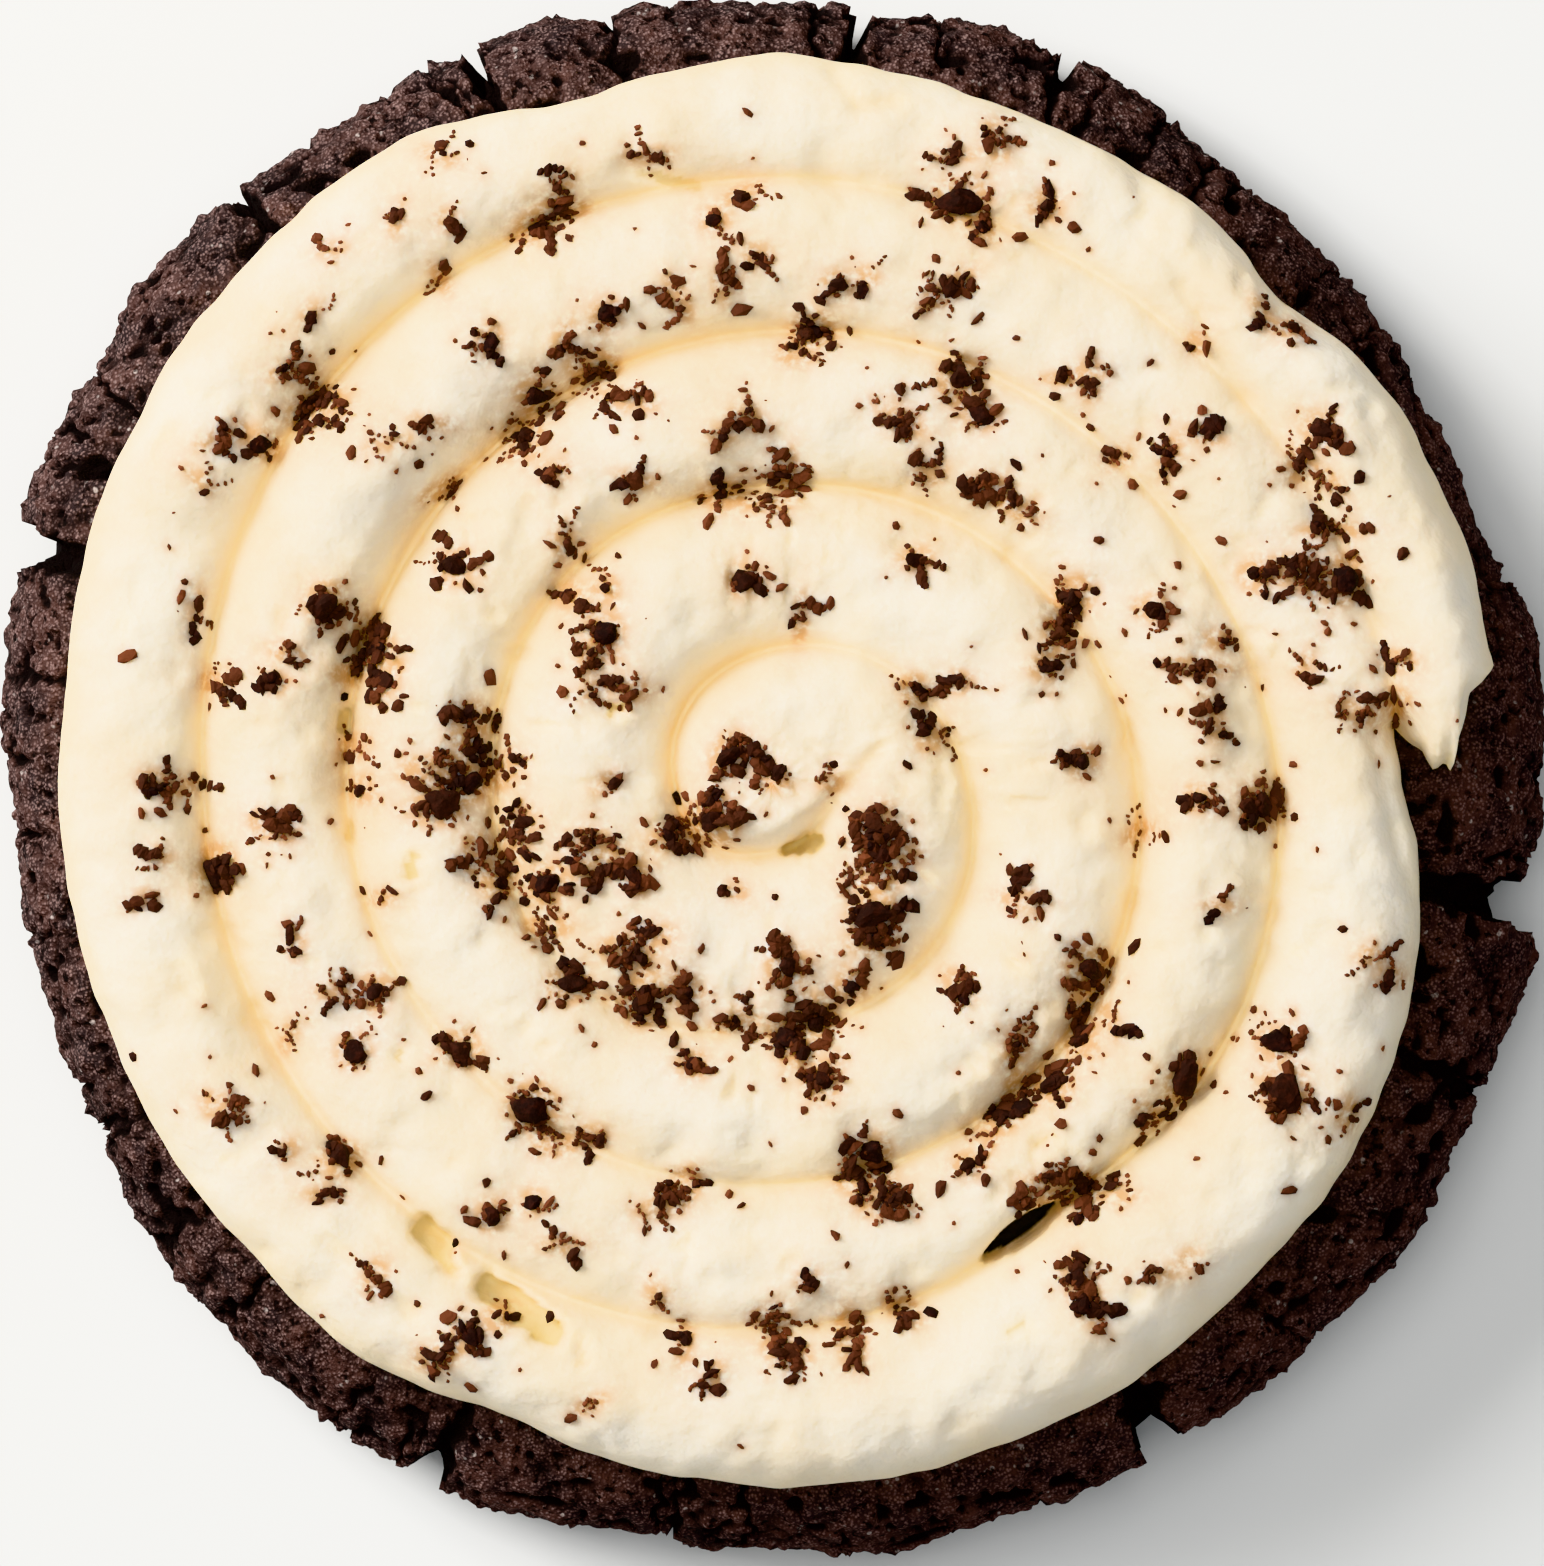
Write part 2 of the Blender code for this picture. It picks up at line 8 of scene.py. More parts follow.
import bmesh
import bpy
import numpy as np
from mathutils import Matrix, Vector


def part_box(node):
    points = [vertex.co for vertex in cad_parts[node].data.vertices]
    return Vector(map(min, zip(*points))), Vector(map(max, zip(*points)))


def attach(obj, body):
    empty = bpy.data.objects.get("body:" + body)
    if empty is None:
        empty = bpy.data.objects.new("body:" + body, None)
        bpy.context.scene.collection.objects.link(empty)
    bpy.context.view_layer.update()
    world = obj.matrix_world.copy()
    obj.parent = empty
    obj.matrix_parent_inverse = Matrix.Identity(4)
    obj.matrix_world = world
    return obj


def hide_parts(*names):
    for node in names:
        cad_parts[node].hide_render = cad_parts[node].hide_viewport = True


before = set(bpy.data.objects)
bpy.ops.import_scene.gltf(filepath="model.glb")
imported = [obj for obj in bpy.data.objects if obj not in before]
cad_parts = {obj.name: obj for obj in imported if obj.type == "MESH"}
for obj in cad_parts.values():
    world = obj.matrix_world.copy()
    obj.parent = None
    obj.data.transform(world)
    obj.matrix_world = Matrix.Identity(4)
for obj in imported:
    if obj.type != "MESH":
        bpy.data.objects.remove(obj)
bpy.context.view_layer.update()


# ----------------------------------------------------------------------------------------------------
# The cookie
#
# A thick cookie of dark cocoa dough that spread on its tray and cracked round its rim as it baked. Its
# underside is flat from the tray. Its side is dry and crumbly, with splits. Its hollows and splits are
# painted near-black as shade.

MM = 0.001
COOKIE_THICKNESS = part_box("cookie")[1].z / MM
COOKIE_WIDEST_AT = 5.5  # height of the widest place
COOKIE_FOOT = 2.2  # how far the lower edge is rounded in
COOKIE_SHOULDER = 9.0  # how far the upper edge is rounded in
COOKIE_FLAT = 17.0  # how much of the flat top is worked out beyond the shoulder
COOKIE_COLUMNS = 1290
FOOT_ROWS, SHOULDER_ROWS, FLAT_ROWS = 15, 48, 13

# The outline as (angle, distance from the middle). It steps in or out where a split parts two blocks.
COOKIE_OUTLINE = (
    (0, 54.8), (3, 55.0), (6, 54.2), (8, 53.9), (12, 55.4), (15, 55.7), (20, 55.2), (28, 55.5),
    (35, 55.9), (47, 55.5), (54, 55.3), (58, 55.0), (61, 55.4), (65, 55.5), (72, 54.7), (80, 55.3),
    (85, 55.3), (90, 54.5), (95, 54.7), (97.5, 54.1), (98.5, 54.0), (106, 54.8), (113, 55.7),
    (115.5, 55.6), (119, 55.5), (135, 55.0), (145, 54.6), (151.5, 54.2), (152.5, 53.7), (168, 53.8),
    (178, 54.1), (183, 55.0), (190, 55.2), (195, 55.7), (200.5, 56.8), (208, 56.7), (213, 56.5),
    (218, 57.1), (224, 57.3), (228, 57.2), (231, 56.9), (238, 56.4), (246, 56.2), (249.5, 56.6),
    (254, 56.7), (257.5, 55.7), (260, 56.2), (265, 56.0), (275, 55.5), (278.5, 54.8), (282, 55.9),
    (285, 56.2), (290, 56.0), (295, 55.9), (300, 55.3), (306, 54.5), (315, 54.4), (322, 54.0),
    (335, 53.7), (343.8, 53.9), (345.2, 55.0), (348, 55.3), (355, 55.1),
)
# Splits in the rim: angle, depth, and width in degrees.
COOKIE_SPLITS = (
    (9.5, 4.2, 4.6), (59.8, 3.6, 4.2), (98.0, 0.9, 1.2), (116.5, 2.4, 3.6), (152.0, 0.6, 0.9),
    (168.5, 0.7, 0.9), (197.8, 3.6, 4.0), (228.5, 1.9, 2.0), (247.6, 3.3, 2.0), (258.2, 1.1, 1.3),
    (277.0, 3.2, 2.4), (292.4, 2.2, 2.4), (301.0, 0.8, 0.8), (306.0, 0.9, 0.9), (318.0, 0.7, 0.8),
    (344.5, 1.1, 0.9),
)
FINE_CRACKS = 70
COOKIE_SEED = 5

COOKIE_MOIST = (0.034, 0.0252, 0.0256, 1)
COOKIE_CRUST = (0.086, 0.048, 0.0425, 1)
COOKIE_DRY = (0.240, 0.156, 0.145, 1)
# The colour of the painted shade in the dough's hollows, pits, splits and cracks.
COOKIE_PAINTED_SHADE = (0.0088, 0.0070, 0.0070, 1)
COOKIE_FLECK = (0.36, 0.30, 0.28, 1)


def smoothstep(low, high, at):
    """0 below low, 1 above high, and 3t^2 - 2t^3 between."""
    t = np.clip((at - low) / (high - low), 0, 1)
    return t * t * (3 - 2 * t)


def lattice_number(x, y, z, seed):
    """A number from 0 to 1 for each place of a lattice, mixed from its three whole numbers."""
    mixed = (x * 73856093) ^ (y * 19349663) ^ (z * 83492791) ^ (seed * 26544357)
    mixed = (mixed ^ (mixed >> 13)) & 0xFFFFFFFF
    mixed = (mixed * 1274126177) & 0xFFFFFFFF
    mixed = mixed ^ (mixed >> 15)
    return (mixed & 0xFFFFFF) / 0xFFFFFF


def lumps(points, size, seed):
    """Smooth lumps from -1 to 1: random numbers on a lattice, blended by a smooth step along each axis."""
    place = points / size
    cell = np.floor(place).astype(np.int64)
    t = smoothstep(0, 1, place - cell)
    total = 0.0
    for corner in np.ndindex(2, 2, 2):
        share = np.prod(np.where(corner, t, 1 - t), axis=-1)
        at = cell + corner
        total = total + share * lattice_number(at[..., 0], at[..., 1], at[..., 2], seed)
    return 2 * total - 1


def grains(points, size, seed):
    """Distances to the nearest and the next nearest of random points, one in each cell of a lattice."""
    place = points / size
    cell = np.floor(place).astype(np.int64)
    nearest = np.full(place.shape[:-1], 9.0)
    next_nearest = nearest.copy()
    for step in np.ndindex(3, 3, 3):
        at = cell + step - 1
        parts = [lattice_number(at[..., 0], at[..., 1], at[..., 2], seed + k) for k in range(3)]
        away = np.linalg.norm(at + np.stack(parts, axis=-1) - place, axis=-1)
        next_nearest = np.minimum(next_nearest, np.maximum(nearest, away))
        nearest = np.minimum(nearest, away)
    return nearest, next_nearest


def normals_of(grid):
    """Unit normals of a grid that closes on itself along its first axis: the cross product of its slopes."""
    along = np.roll(grid, -1, axis=0) - np.roll(grid, 1, axis=0)
    up = np.gradient(grid, axis=1)
    normal = np.cross(up, along)
    return normal / np.maximum(np.linalg.norm(normal, axis=-1, keepdims=True), 1e-9)


def cookie_profile():
    """(distance in from the outline, height): two quarter ellipses, the foot and the shoulder, and a flat."""
    foot = np.linspace(0, np.pi / 2, FOOT_ROWS + 1)
    shoulder = np.linspace(0, np.pi / 2, SHOULDER_ROWS + 1)[1:]
    flat = np.linspace(0, 1, FLAT_ROWS + 1)[1:] ** 2
    inset = np.concatenate([
        COOKIE_FOOT * (1 - np.sin(foot)),
        COOKIE_SHOULDER * (1 - np.cos(shoulder)),
        COOKIE_SHOULDER + COOKIE_FLAT * flat,
    ])
    height = np.concatenate([
        COOKIE_WIDEST_AT * (1 - np.cos(foot)),
        COOKIE_WIDEST_AT + (COOKIE_THICKNESS - COOKIE_WIDEST_AT) * np.sin(shoulder),
        np.full(FLAT_ROWS, COOKIE_THICKNESS),
    ])
    return inset, height


def cookie_radius(angle):
    """The outline's distance from the middle, in straight steps between the points of its table."""
    at, radius = np.array(COOKIE_OUTLINE).T
    return np.interp(angle % 360, at, radius, period=360)


def cookie_top(x, y):
    """Height of the cookie's smooth upper side: the shoulder's ellipse, then the flat."""
    angle = np.degrees(np.arctan2(-y, x))
    inset = np.clip(cookie_radius(angle) - np.hypot(x, y), 0, COOKIE_SHOULDER)
    rise = np.sqrt(1 - (1 - inset / COOKIE_SHOULDER) ** 2)
    return COOKIE_WIDEST_AT + (COOKIE_THICKNESS - COOKIE_WIDEST_AT) * rise


def crack_sway(points):
    """How many degrees the cracks wander to the side: broad sways down the rim and small ones everywhere."""
    broad = 1.1 * lumps(points * (0.25, 0.25, 1), 5.0, 31)
    return broad + 0.7 * lumps(points, 1.6, 32) + 0.5 * lumps(points, 0.8, 33)


def cookie_splits(angle, climb, points):
    """Depth of the splits: each is its own depth times a steep wedge across its width, less at its top."""
    sway = crack_sway(points)
    depth = np.zeros_like(angle)
    for at, deep, width in COOKIE_SPLITS:
        away = np.abs((angle + 0.8 * sway - at + 180) % 360 - 180)
        opening = 0.40 * width * (1 - 0.35 * smoothstep(1.15, 1.7, climb))
        wedge = np.clip(1.15 - away / opening, 0, 1) ** 0.6
        depth = np.maximum(depth, deep * wedge * (1 - 0.75 * smoothstep(1.1, 1.9, climb)))
    return depth


def cookie_cracks(angle, climb, points, normal):
    """How far splits and fine cracks reach in.

    The splits' walls are rough, because their sway is read again where the first depth puts them. climb is
    0 at the foot, 1 at the widest place and 2 at the end of the shoulder.
    """
    chance = np.random.default_rng(COOKIE_SEED)
    depth = cookie_splits(angle, climb, points)
    depth = cookie_splits(angle, climb, points - normal * depth[..., None])
    sway = crack_sway(points)
    for _ in range(FINE_CRACKS):
        at = chance.uniform(0, 360)
        width = chance.uniform(0.5, 1.2)
        deep = chance.uniform(0.4, 1.3)
        low, high = chance.uniform(-0.2, 0.9), chance.uniform(1.1, 2.0)
        lean = chance.uniform(-3.0, 3.0)
        away = np.abs((angle + sway + lean * (climb - 1) - at + 180) % 360 - 180)
        reach = smoothstep(low - 0.2, low + 0.1, climb) * (1 - smoothstep(high - 0.3, high, climb))
        depth = np.maximum(depth, deep * np.clip(1 - away / (width / 2), 0, 1) * reach)
    return depth


def cookie_surface():
    """The outline carried round by the profile, then pushed along its normals by lumps, grains and cracks."""
    inset, height = cookie_profile()
    angle = np.arange(COOKIE_COLUMNS) * 360 / COOKIE_COLUMNS
    angle, inset = np.meshgrid(angle, inset, indexing="ij")
    height = np.broadcast_to(height, angle.shape)
    radius = cookie_radius(angle) - inset
    turn = np.radians(angle)
    grid = np.stack([radius * np.cos(turn), -radius * np.sin(turn), height], axis=-1)
    row = np.arange(grid.shape[1])
    climb = np.interp(row, (0, FOOT_ROWS, FOOT_ROWS + SHOULDER_ROWS, row[-1]), (0, 1, 2, 2.4))
    climb = np.broadcast_to(climb, angle.shape)
    normal = normals_of(grid)
    bare = smoothstep(0.0, 0.25, climb) * (1 - smoothstep(10.5, 14.0, inset))
    broad = 0.32 * lumps(grid, 12.0, 1) + 0.30 * lumps(grid, 5.0, 2)
    near, next_near = grains(grid * (1, 1, 1.3), 4.2, 11)
    blocks = 0.16 * (smoothstep(0.0, 0.2, next_near - near) - 0.85) + 0.22 * lumps(grid, 2.3, 3)
    near, _ = grains(grid + 0.5 * lumps(grid, 1.5, 22)[..., None], 1.25, 21)
    knobs = 0.4 * smoothstep(0.5, 0.9, lumps(grid, 1.1, 12))
    crumbly = 0.36 * (0.55 - near) + 0.2 * lumps(grid, 0.75, 9) + knobs
    holes = 0.9 * smoothstep(0.45, 0.8, lumps(grid, 1.7, 7))
    pits = holes + 0.6 * smoothstep(0.4, 0.85, lumps(grid, 0.95, 8))
    cracks = cookie_cracks(angle, climb, grid, normal)
    fine = blocks + crumbly - pits - cracks
    push = bare * (broad + fine)
    grid = grid + normal * push[..., None]
    grid[..., 2] = np.where(row == 0, 0.0, np.maximum(grid[..., 2], 0.02))
    return grid, bare * fine


def mesh_piece(name, points, quads, triangles, rims, material):
    """A smooth piece from points in millimetres; rims are the outlines of its flat ends."""
    mesh = bpy.data.meshes.new(name)
    mesh.from_pydata((points * MM).tolist(), [], quads.tolist() + triangles.tolist() + rims)
    mesh.materials.append(material)
    mesh.validate()
    mesh.shade_smooth()
    piece = bpy.data.objects.new(name, mesh)
    bpy.context.scene.collection.objects.link(piece)
    return piece


def point_values(piece, name, values):
    """Gives the piece a number at each of its points, which its material reads by name."""
    layer = piece.data.attributes.new(name, "FLOAT", "POINT")
    layer.data.foreach_set("value", np.ascontiguousarray(values, dtype=np.float32).ravel())


def new_material(name, **values):
    """A material and a short way to add nodes to it; values go on the Principled shader's own sockets."""
    made = bpy.data.materials.new(name)
    made.use_nodes = True
    tree = made.node_tree
    shader = tree.nodes["Principled BSDF"]
    for socket, value in values.items():
        shader.inputs[socket.replace("_", " ")].default_value = value
    return made, tree, shader


def add_node(tree, kind, inputs=(), **settings):
    """A node with its settings; inputs are (socket, value or another node's output)."""
    node = tree.nodes.new("ShaderNode" + kind)
    for key, value in settings.items():
        setattr(node, key, value)
    for socket, value in inputs:
        if isinstance(value, bpy.types.NodeSocket):
            tree.links.new(value, node.inputs[socket])
        else:
            node.inputs[socket].default_value = value
    return node


def noise(tree, place, scale, detail=3.0, roughness=0.55):
    """Soft random patches from 0 to 1, with the scale as their number in a metre."""
    inputs = (("Vector", place), ("Scale", scale), ("Detail", detail), ("Roughness", roughness))
    return add_node(tree, "TexNoise", inputs).outputs["Fac"]


def specks(tree, place, scale):
    """Distance from the nearest of random points, with the scale as their number in a metre."""
    node = add_node(tree, "TexVoronoi", (("Vector", place), ("Scale", scale)), feature="F1")
    return node.outputs["Distance"]


def ramp(tree, value, low, high):
    """0 where the value is below low and 1 where it is above high."""
    inputs = (("Value", value), ("From Min", low), ("From Max", high))
    node = add_node(tree, "MapRange", inputs, interpolation_type="SMOOTHSTEP")
    return node.outputs["Result"]


def mixed(tree, share, first, second):
    """The first colour where the share is 0 and the second where it is 1."""
    node = add_node(tree, "Mix", data_type="RGBA")
    for socket, value in ((0, share), (6, first), (7, second)):
        if isinstance(value, bpy.types.NodeSocket):
            tree.links.new(value, node.inputs[socket])
        else:
            node.inputs[socket].default_value = value
    return node.outputs[2]


def multiplied(tree, first, second):
    """The product of two numbers of the surface."""
    return add_node(tree, "Math", ((0, first), (1, second)), operation="MULTIPLY").outputs[0]


def baked_dough():
    """Dry cocoa dough: dark crust with paler dry grains and a few pale flecks.

    Its hollows and cracks are painted near-black as shade.
    """
    made, tree, shader = new_material("baked_dough", Specular_IOR_Level=0.08, Roughness=0.9)
    place = add_node(tree, "TexCoord").outputs["Object"]
    relief = add_node(tree, "Attribute", attribute_name="relief").outputs["Fac"]
    wrinkles = noise(tree, place, 1250, 4.0, 0.62)
    grain = specks(tree, place, 3900.0)
    patchy = ramp(tree, noise(tree, place, 300, 4.0), 0.35, 0.68)
    dry = multiplied(tree, ramp(tree, grain, 0.62, 0.12), ramp(tree, noise(tree, place, 900, 2.0), 0.2, 0.6))
    colour = mixed(tree, patchy, COOKIE_MOIST, COOKIE_CRUST)
    colour = mixed(tree, dry, colour, COOKIE_DRY)
    rare = ramp(tree, noise(tree, place, 700, 1.0), 0.60, 0.68)
    flecks = specks(tree, place, 1500.0)
    colour = mixed(tree, multiplied(tree, ramp(tree, flecks, 0.34, 0.2), rare), colour, COOKIE_FLECK)
    # Painted shade: the low places of the wrinkles and of the relief (pits, splits, cracks) are made
    # near-black.
    colour = mixed(tree, ramp(tree, wrinkles, 0.49, 0.35), colour, COOKIE_PAINTED_SHADE)
    colour = mixed(tree, ramp(tree, relief, 0.02, -0.45), colour, COOKIE_PAINTED_SHADE)
    tree.links.new(colour, shader.inputs["Base Color"])
    coarse = add_node(tree, "Bump", (("Strength", 1.0), ("Distance", 0.55 * MM), ("Height", wrinkles)))
    fine = add_node(
        tree,
        "Bump",
        (("Strength", 0.8), ("Distance", 0.14 * MM), ("Height", grain), ("Normal", coarse.outputs["Normal"])),
        invert=True,
    )
    tree.links.new(fine.outputs["Normal"], shader.inputs["Normal"])
    return made


def build_cookie():
    """The surface's grid, joined round the outline, with a flat underside and a flat middle on top."""
    grid, relief = cookie_surface()
    columns, rows = grid.shape[:2]
    number = np.arange(columns * rows).reshape(columns, rows)
    following = np.roll(number, -1, axis=0)
    quads = np.stack(
        [number[:, :-1], number[:, 1:], following[:, 1:], following[:, :-1]], axis=-1
    ).reshape(-1, 4)
    rims = [number[:, 0].tolist(), number[::-1, -1].tolist()]
    none = np.zeros((0, 3), int)
    piece = mesh_piece("cookie_baked", grid.reshape(-1, 3), quads, none, rims, baked_dough())
    # The material reads the relief to paint shade into the hollows.
    point_values(piece, "relief", relief)
    return piece


cookie = build_cookie()
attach(cookie, "root")
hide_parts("cookie")


# ----------------------------------------------------------------------------------------------------
# The cream
#
# One rope of soft vanilla cream, piped on the cookie from the middle outwards in five turns. Each turn
# leans on the one before it, so they meet in a groove, and the rope's loose end lies against its side.

CREAM_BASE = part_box("cream_swirl")[0].z / MM
ROPE_HEIGHT = 9.6
ROPE_START = -0.36  # turns
ROPE_END = 4 + 354.8 / 360
ROPE_EQUATOR = 3.8  # height of the widest place of the outer flank, above the rope's underside
ROPE_UNDERCUT = 1.7  # how far the flank pulls in at its foot
OUTLINE_SMOOTHINGS = 60  # rounds that even out the directions in which it pulls in
COLUMNS_A_TURN = 640
ROPE_ROWS = 24
FLANK_RINGS = 13
CREAM_SUNK = 0.35  # how far the rope's foot is pressed into the cookie
# Distance of the groove between two turns from the middle, every eighth of a turn.
GROOVE_RADII = (
    4.4, 4.1, 4.7, 6.1, 6.8, 8.0, 9.3, 11.4,
    13.7, 16.1, 17.4, 19.2, 19.4, 20.2, 20.6, 22.7,
    25.5, 27.3, 28.0, 28.7, 29.6, 30.2, 31.4, 32.8,
    35.3, 37.0, 38.1, 38.9, 39.6, 41.6, 42.0, 42.1,
)
# Distance of the last turn's outer side from the middle, every 15 degrees.
OUTER_RADII = (
    43.9, 46.9, 48.0, 48.3, 48.8, 49.1, 49.3, 48.9, 49.2, 49.2, 49.2, 49.7, 49.7,
    50.3, 51.3, 51.7, 51.8, 50.4, 50.8, 50.3, 49.8, 50.3, 51.0, 51.1, 49.6,
)
# Small bends of the groove or of the outer side: turns, distance, width in turns.
GROOVE_BENDS = ((3.155, -1.7, 0.045), (4.311, -1.0, 0.018), (4.703, -0.6, 0.02), (4.879, -1.1, 0.013))
# Depth of the groove below the crest, every eighth of a turn: shallow where two turns have merged.
GROOVE_DEPTHS = (
    1.4, 2.6, 3.2, 2.6, 3.4, 3.4, 2.8, 1.4,
    2.4, 2.6, 1.6, 1.6, 2.6, 3.0, 2.8, 2.0,
    2.6, 2.6, 1.8, 1.6, 2.6, 3.2, 2.6, 1.4,
    2.4, 2.8, 1.8, 1.6, 2.4, 3.0, 2.0, 1.2,
)
TAIL_REACH = 3.4  # degrees that the tip of the rope's end reaches past its inner corner
TAIL_TIP = 0.66  # where the tip is across the rope
TAIL_ROUNDING = 4.5  # length over which the top rounds down to the end
TAIL_NARROWING = 0.8  # how far the outer side comes in on its way to the end
RAGGED_TURNS = (4.950, 4.968)  # the turns over which the outer side becomes ragged
# Where the outer side steps in beside the loose end: how far, and from and to which turn.
STEP_AT_TAIL = (1.25, 4 + 349.5 / 360, 4 + 350.0 / 360)
# Dents that the nozzle and the air left: place, length, width, turn in degrees, depth.
CREAM_DENTS = (
    (-10.9, 5.1, 1.9, 0.8, 50, 0.8), (-29.8, 4.4, 2.2, 1.0, 85, 0.7), (-29.4, -3.3, 1.6, 0.7, 85, 0.6),
    (-24.9, -5.7, 1.9, 1.0, 80, 0.7), (-40.9, -13.4, 2.4, 1.3, -60, 0.5), (-25.9, -19.1, 1.4, 0.9, 80, 0.6),
    (16.9, -12.5, 1.0, 0.8, 0, 0.5), (-42.3, 23.2, 3.2, 0.8, 75, 0.5), (10.7, -6.4, 1.5, 0.6, -30, 0.4),
    (-6.1, -31.9, 1.5, 0.8, 0, 0.5), (-2.9, -21.4, 1.2, 0.8, 20, 0.5), (1.3, -33.2, 1.6, 0.8, 10, 0.5),
    (16.9, -37.8, 1.8, 0.9, 20, 0.6), (18.7, -24.9, 1.6, 0.9, 40, 0.6), (32.6, 16.4, 1.8, 1.0, -70, 0.5),
    (-45.1, 11.0, 1.6, 0.8, 80, 0.4), (-23.3, -31.9, 3.6, 1.9, -48, 1.7), (-17.6, -36.6, 8.6, 2.1, -32, 1.9),
    (-7.5, 42.0, 5.5, 1.0, -12, 0.6), (35.8, 34.0, 1.6, 1.2, -60, 0.7), (2.0, -4.4, 3.2, 1.1, 15, 1.4),
)
# Creases, where the rope folded on itself: the points they run through, then depth and width.
CREAM_CREASES = (
    (((-31.2, -31.5), (-28.0, -33.6), (-26.3, -35.0), (-24.9, -36.7)), 0.7, 0.45),
    (((-35.9, -15.5), (-36.5, -16.6), (-35.2, -17.0)), 0.6, 0.5),
    (((4.4, 49.3), (6.1, 46.9), (8.6, 47.2)), 0.8, 0.5),
    (((28.4, 34.4), (31.0, 30.6), (33.0, 26.7)), 0.8, 0.7),
    (((1.8, -4.4), (3.2, -2.8), (4.0, -1.5), (5.6, 0.2), (7.2, 2.0)), 0.9, 0.7),
    (((20.4, 5.8), (21.1, 3.4), (20.6, 1.4)), 0.35, 0.5),
    (((41.6, 3.0), (42.4, 0.5), (42.9, -2.1), (43.7, -5.3), (44.8, -8.5)), 0.5, 0.5),
)
# Painted shade: the floors of the deepest dents are painted a darker yellow.
POCKET_DEPTH = 0.6  # dents at least this deep have a yellower floor
CREAM_PITS = 560  # small dimples left by air and drawn out along the rope
CREAM_SEED = 23
# A tear right through the cream: place, length, width, turn in degrees.
CREAM_TEAR = (17.4, -31.2, 6.2, 1.2, 36.0)
TEAR_FLOOR = 0.2  # height of the cookie in the tear, above the rope's underside

# Painted shade: the share of the yellow fold shade on the cream's flank and in its dents.
FLANK_SHADE, DENT_SHADE = 0.45, 0.6  # shares of the yellow of the folds
CREAM_LIGHT = (0.94, 0.855, 0.715, 1)
CREAM_WARM = (0.91, 0.77, 0.56, 1)
# Painted shade: the yellow that stands in for the shade in the grooves, on the flank and in the dents.
CREAM_FOLD_SHADE = (0.885, 0.705, 0.395, 1)
# Painted shade for the floors of the deepest dents.
CREAM_POCKET_SHADE = (0.70, 0.55, 0.27, 1)
# Brown round the crumbs: partly their cocoa stain, partly painted shade of the dark crumbs in the cream.
CREAM_STAIN_AND_SHADE = (0.62, 0.315, 0.10, 1)


def smooth_through(values, step, start, at):
    """A smooth curve through values that are a step apart from start on, each piece a cubic."""
    values = np.asarray(values, float)
    slopes = np.gradient(values)
    place = np.clip((np.asarray(at, float) - start) / step, 0, len(values) - 1)
    index = np.minimum(place.astype(int), len(values) - 2)
    t = place - index
    return (
        values[index] * (1 + 2 * t) * (1 - t) ** 2
        + slopes[index] * t * (1 - t) ** 2
        + values[index + 1] * t * t * (3 - 2 * t)
        + slopes[index + 1] * t * t * (t - 1)
    )


def groove_radius(turns):
    """Distance of the rope's outer boundary from the middle; it starts from nothing."""
    early = GROOVE_RADII[0] * smoothstep(ROPE_START, 0.0, turns)
    middle = smooth_through(GROOVE_RADII + (OUTER_RADII[0],), 0.125, 0.0, turns)
    last = smooth_through(OUTER_RADII, 1 / 24, 4.0, turns)
    radius = np.where(turns < 0, early, np.where(turns < 4, middle, last))
    for at, shift, width in GROOVE_BENDS:
        radius = radius + shift * np.exp(-(((turns - at) / width) ** 2))
    return radius


def crest_height(turns):
    """Even in the middle, where the turns meet in one point, and a little uneven further out."""
    uneven = 0.25 * np.sin(9.0 * turns) + 0.2 * np.sin(23.0 * turns + 1.0)
    return ROPE_HEIGHT + uneven * smoothstep(0.6, 1.6, turns)


def tail_fall(turns):
    """1 along the rope, and down to 0 by a quarter circle at its end."""
    left = (ROPE_END - turns) * 2 * np.pi * OUTER_RADII[-1]
    t = np.clip(1 - left / TAIL_ROUNDING, 0, 1)
    return np.sqrt(1 - t * t)


def groove_height(turns):
    """Height of the groove at the rope's outer boundary, which is free along the last turn."""
    depth = smooth_through(GROOVE_DEPTHS, 0.125, 0.0, turns) * smoothstep(0.0, 0.2, turns)
    height = crest_height(turns) - depth
    covered = np.where(turns < ROPE_END - 1, tail_fall(turns + 1), 0.0)
    return ROPE_EQUATOR + (height - ROPE_EQUATOR) * covered


def rope_height(turns, across):
    """Height over the rope, from its inner side (across 0) to its outer side (across 1).

    Each half is an arch from the crest down to its groove, and a quarter circle on the free outer side.
    """
    inner, outer, crest = groove_height(turns - 1), groove_height(turns), crest_height(turns)
    away = np.abs(2 * across - 1)
    free = smoothstep(ROPE_END - 1.02, ROPE_END - 0.99, turns)
    arch = 1 - away**2.05
    quarter = np.sqrt(1 - away**2)
    inward = inner + (crest - inner) * arch
    outward = outer + (crest - outer) * (arch + (quarter - arch) * free)
    height = np.where(across < 0.5, inward, outward)
    return ROPE_EQUATOR + (height - ROPE_EQUATOR) * tail_fall(turns)


def turned(x, y, row):
    """Places measured along and across a row's own length, from its middle."""
    dx, dy, turn = x - row[0], y - row[1], np.radians(row[4])
    return dx * np.cos(turn) + dy * np.sin(turn), dy * np.cos(turn) - dx * np.sin(turn)


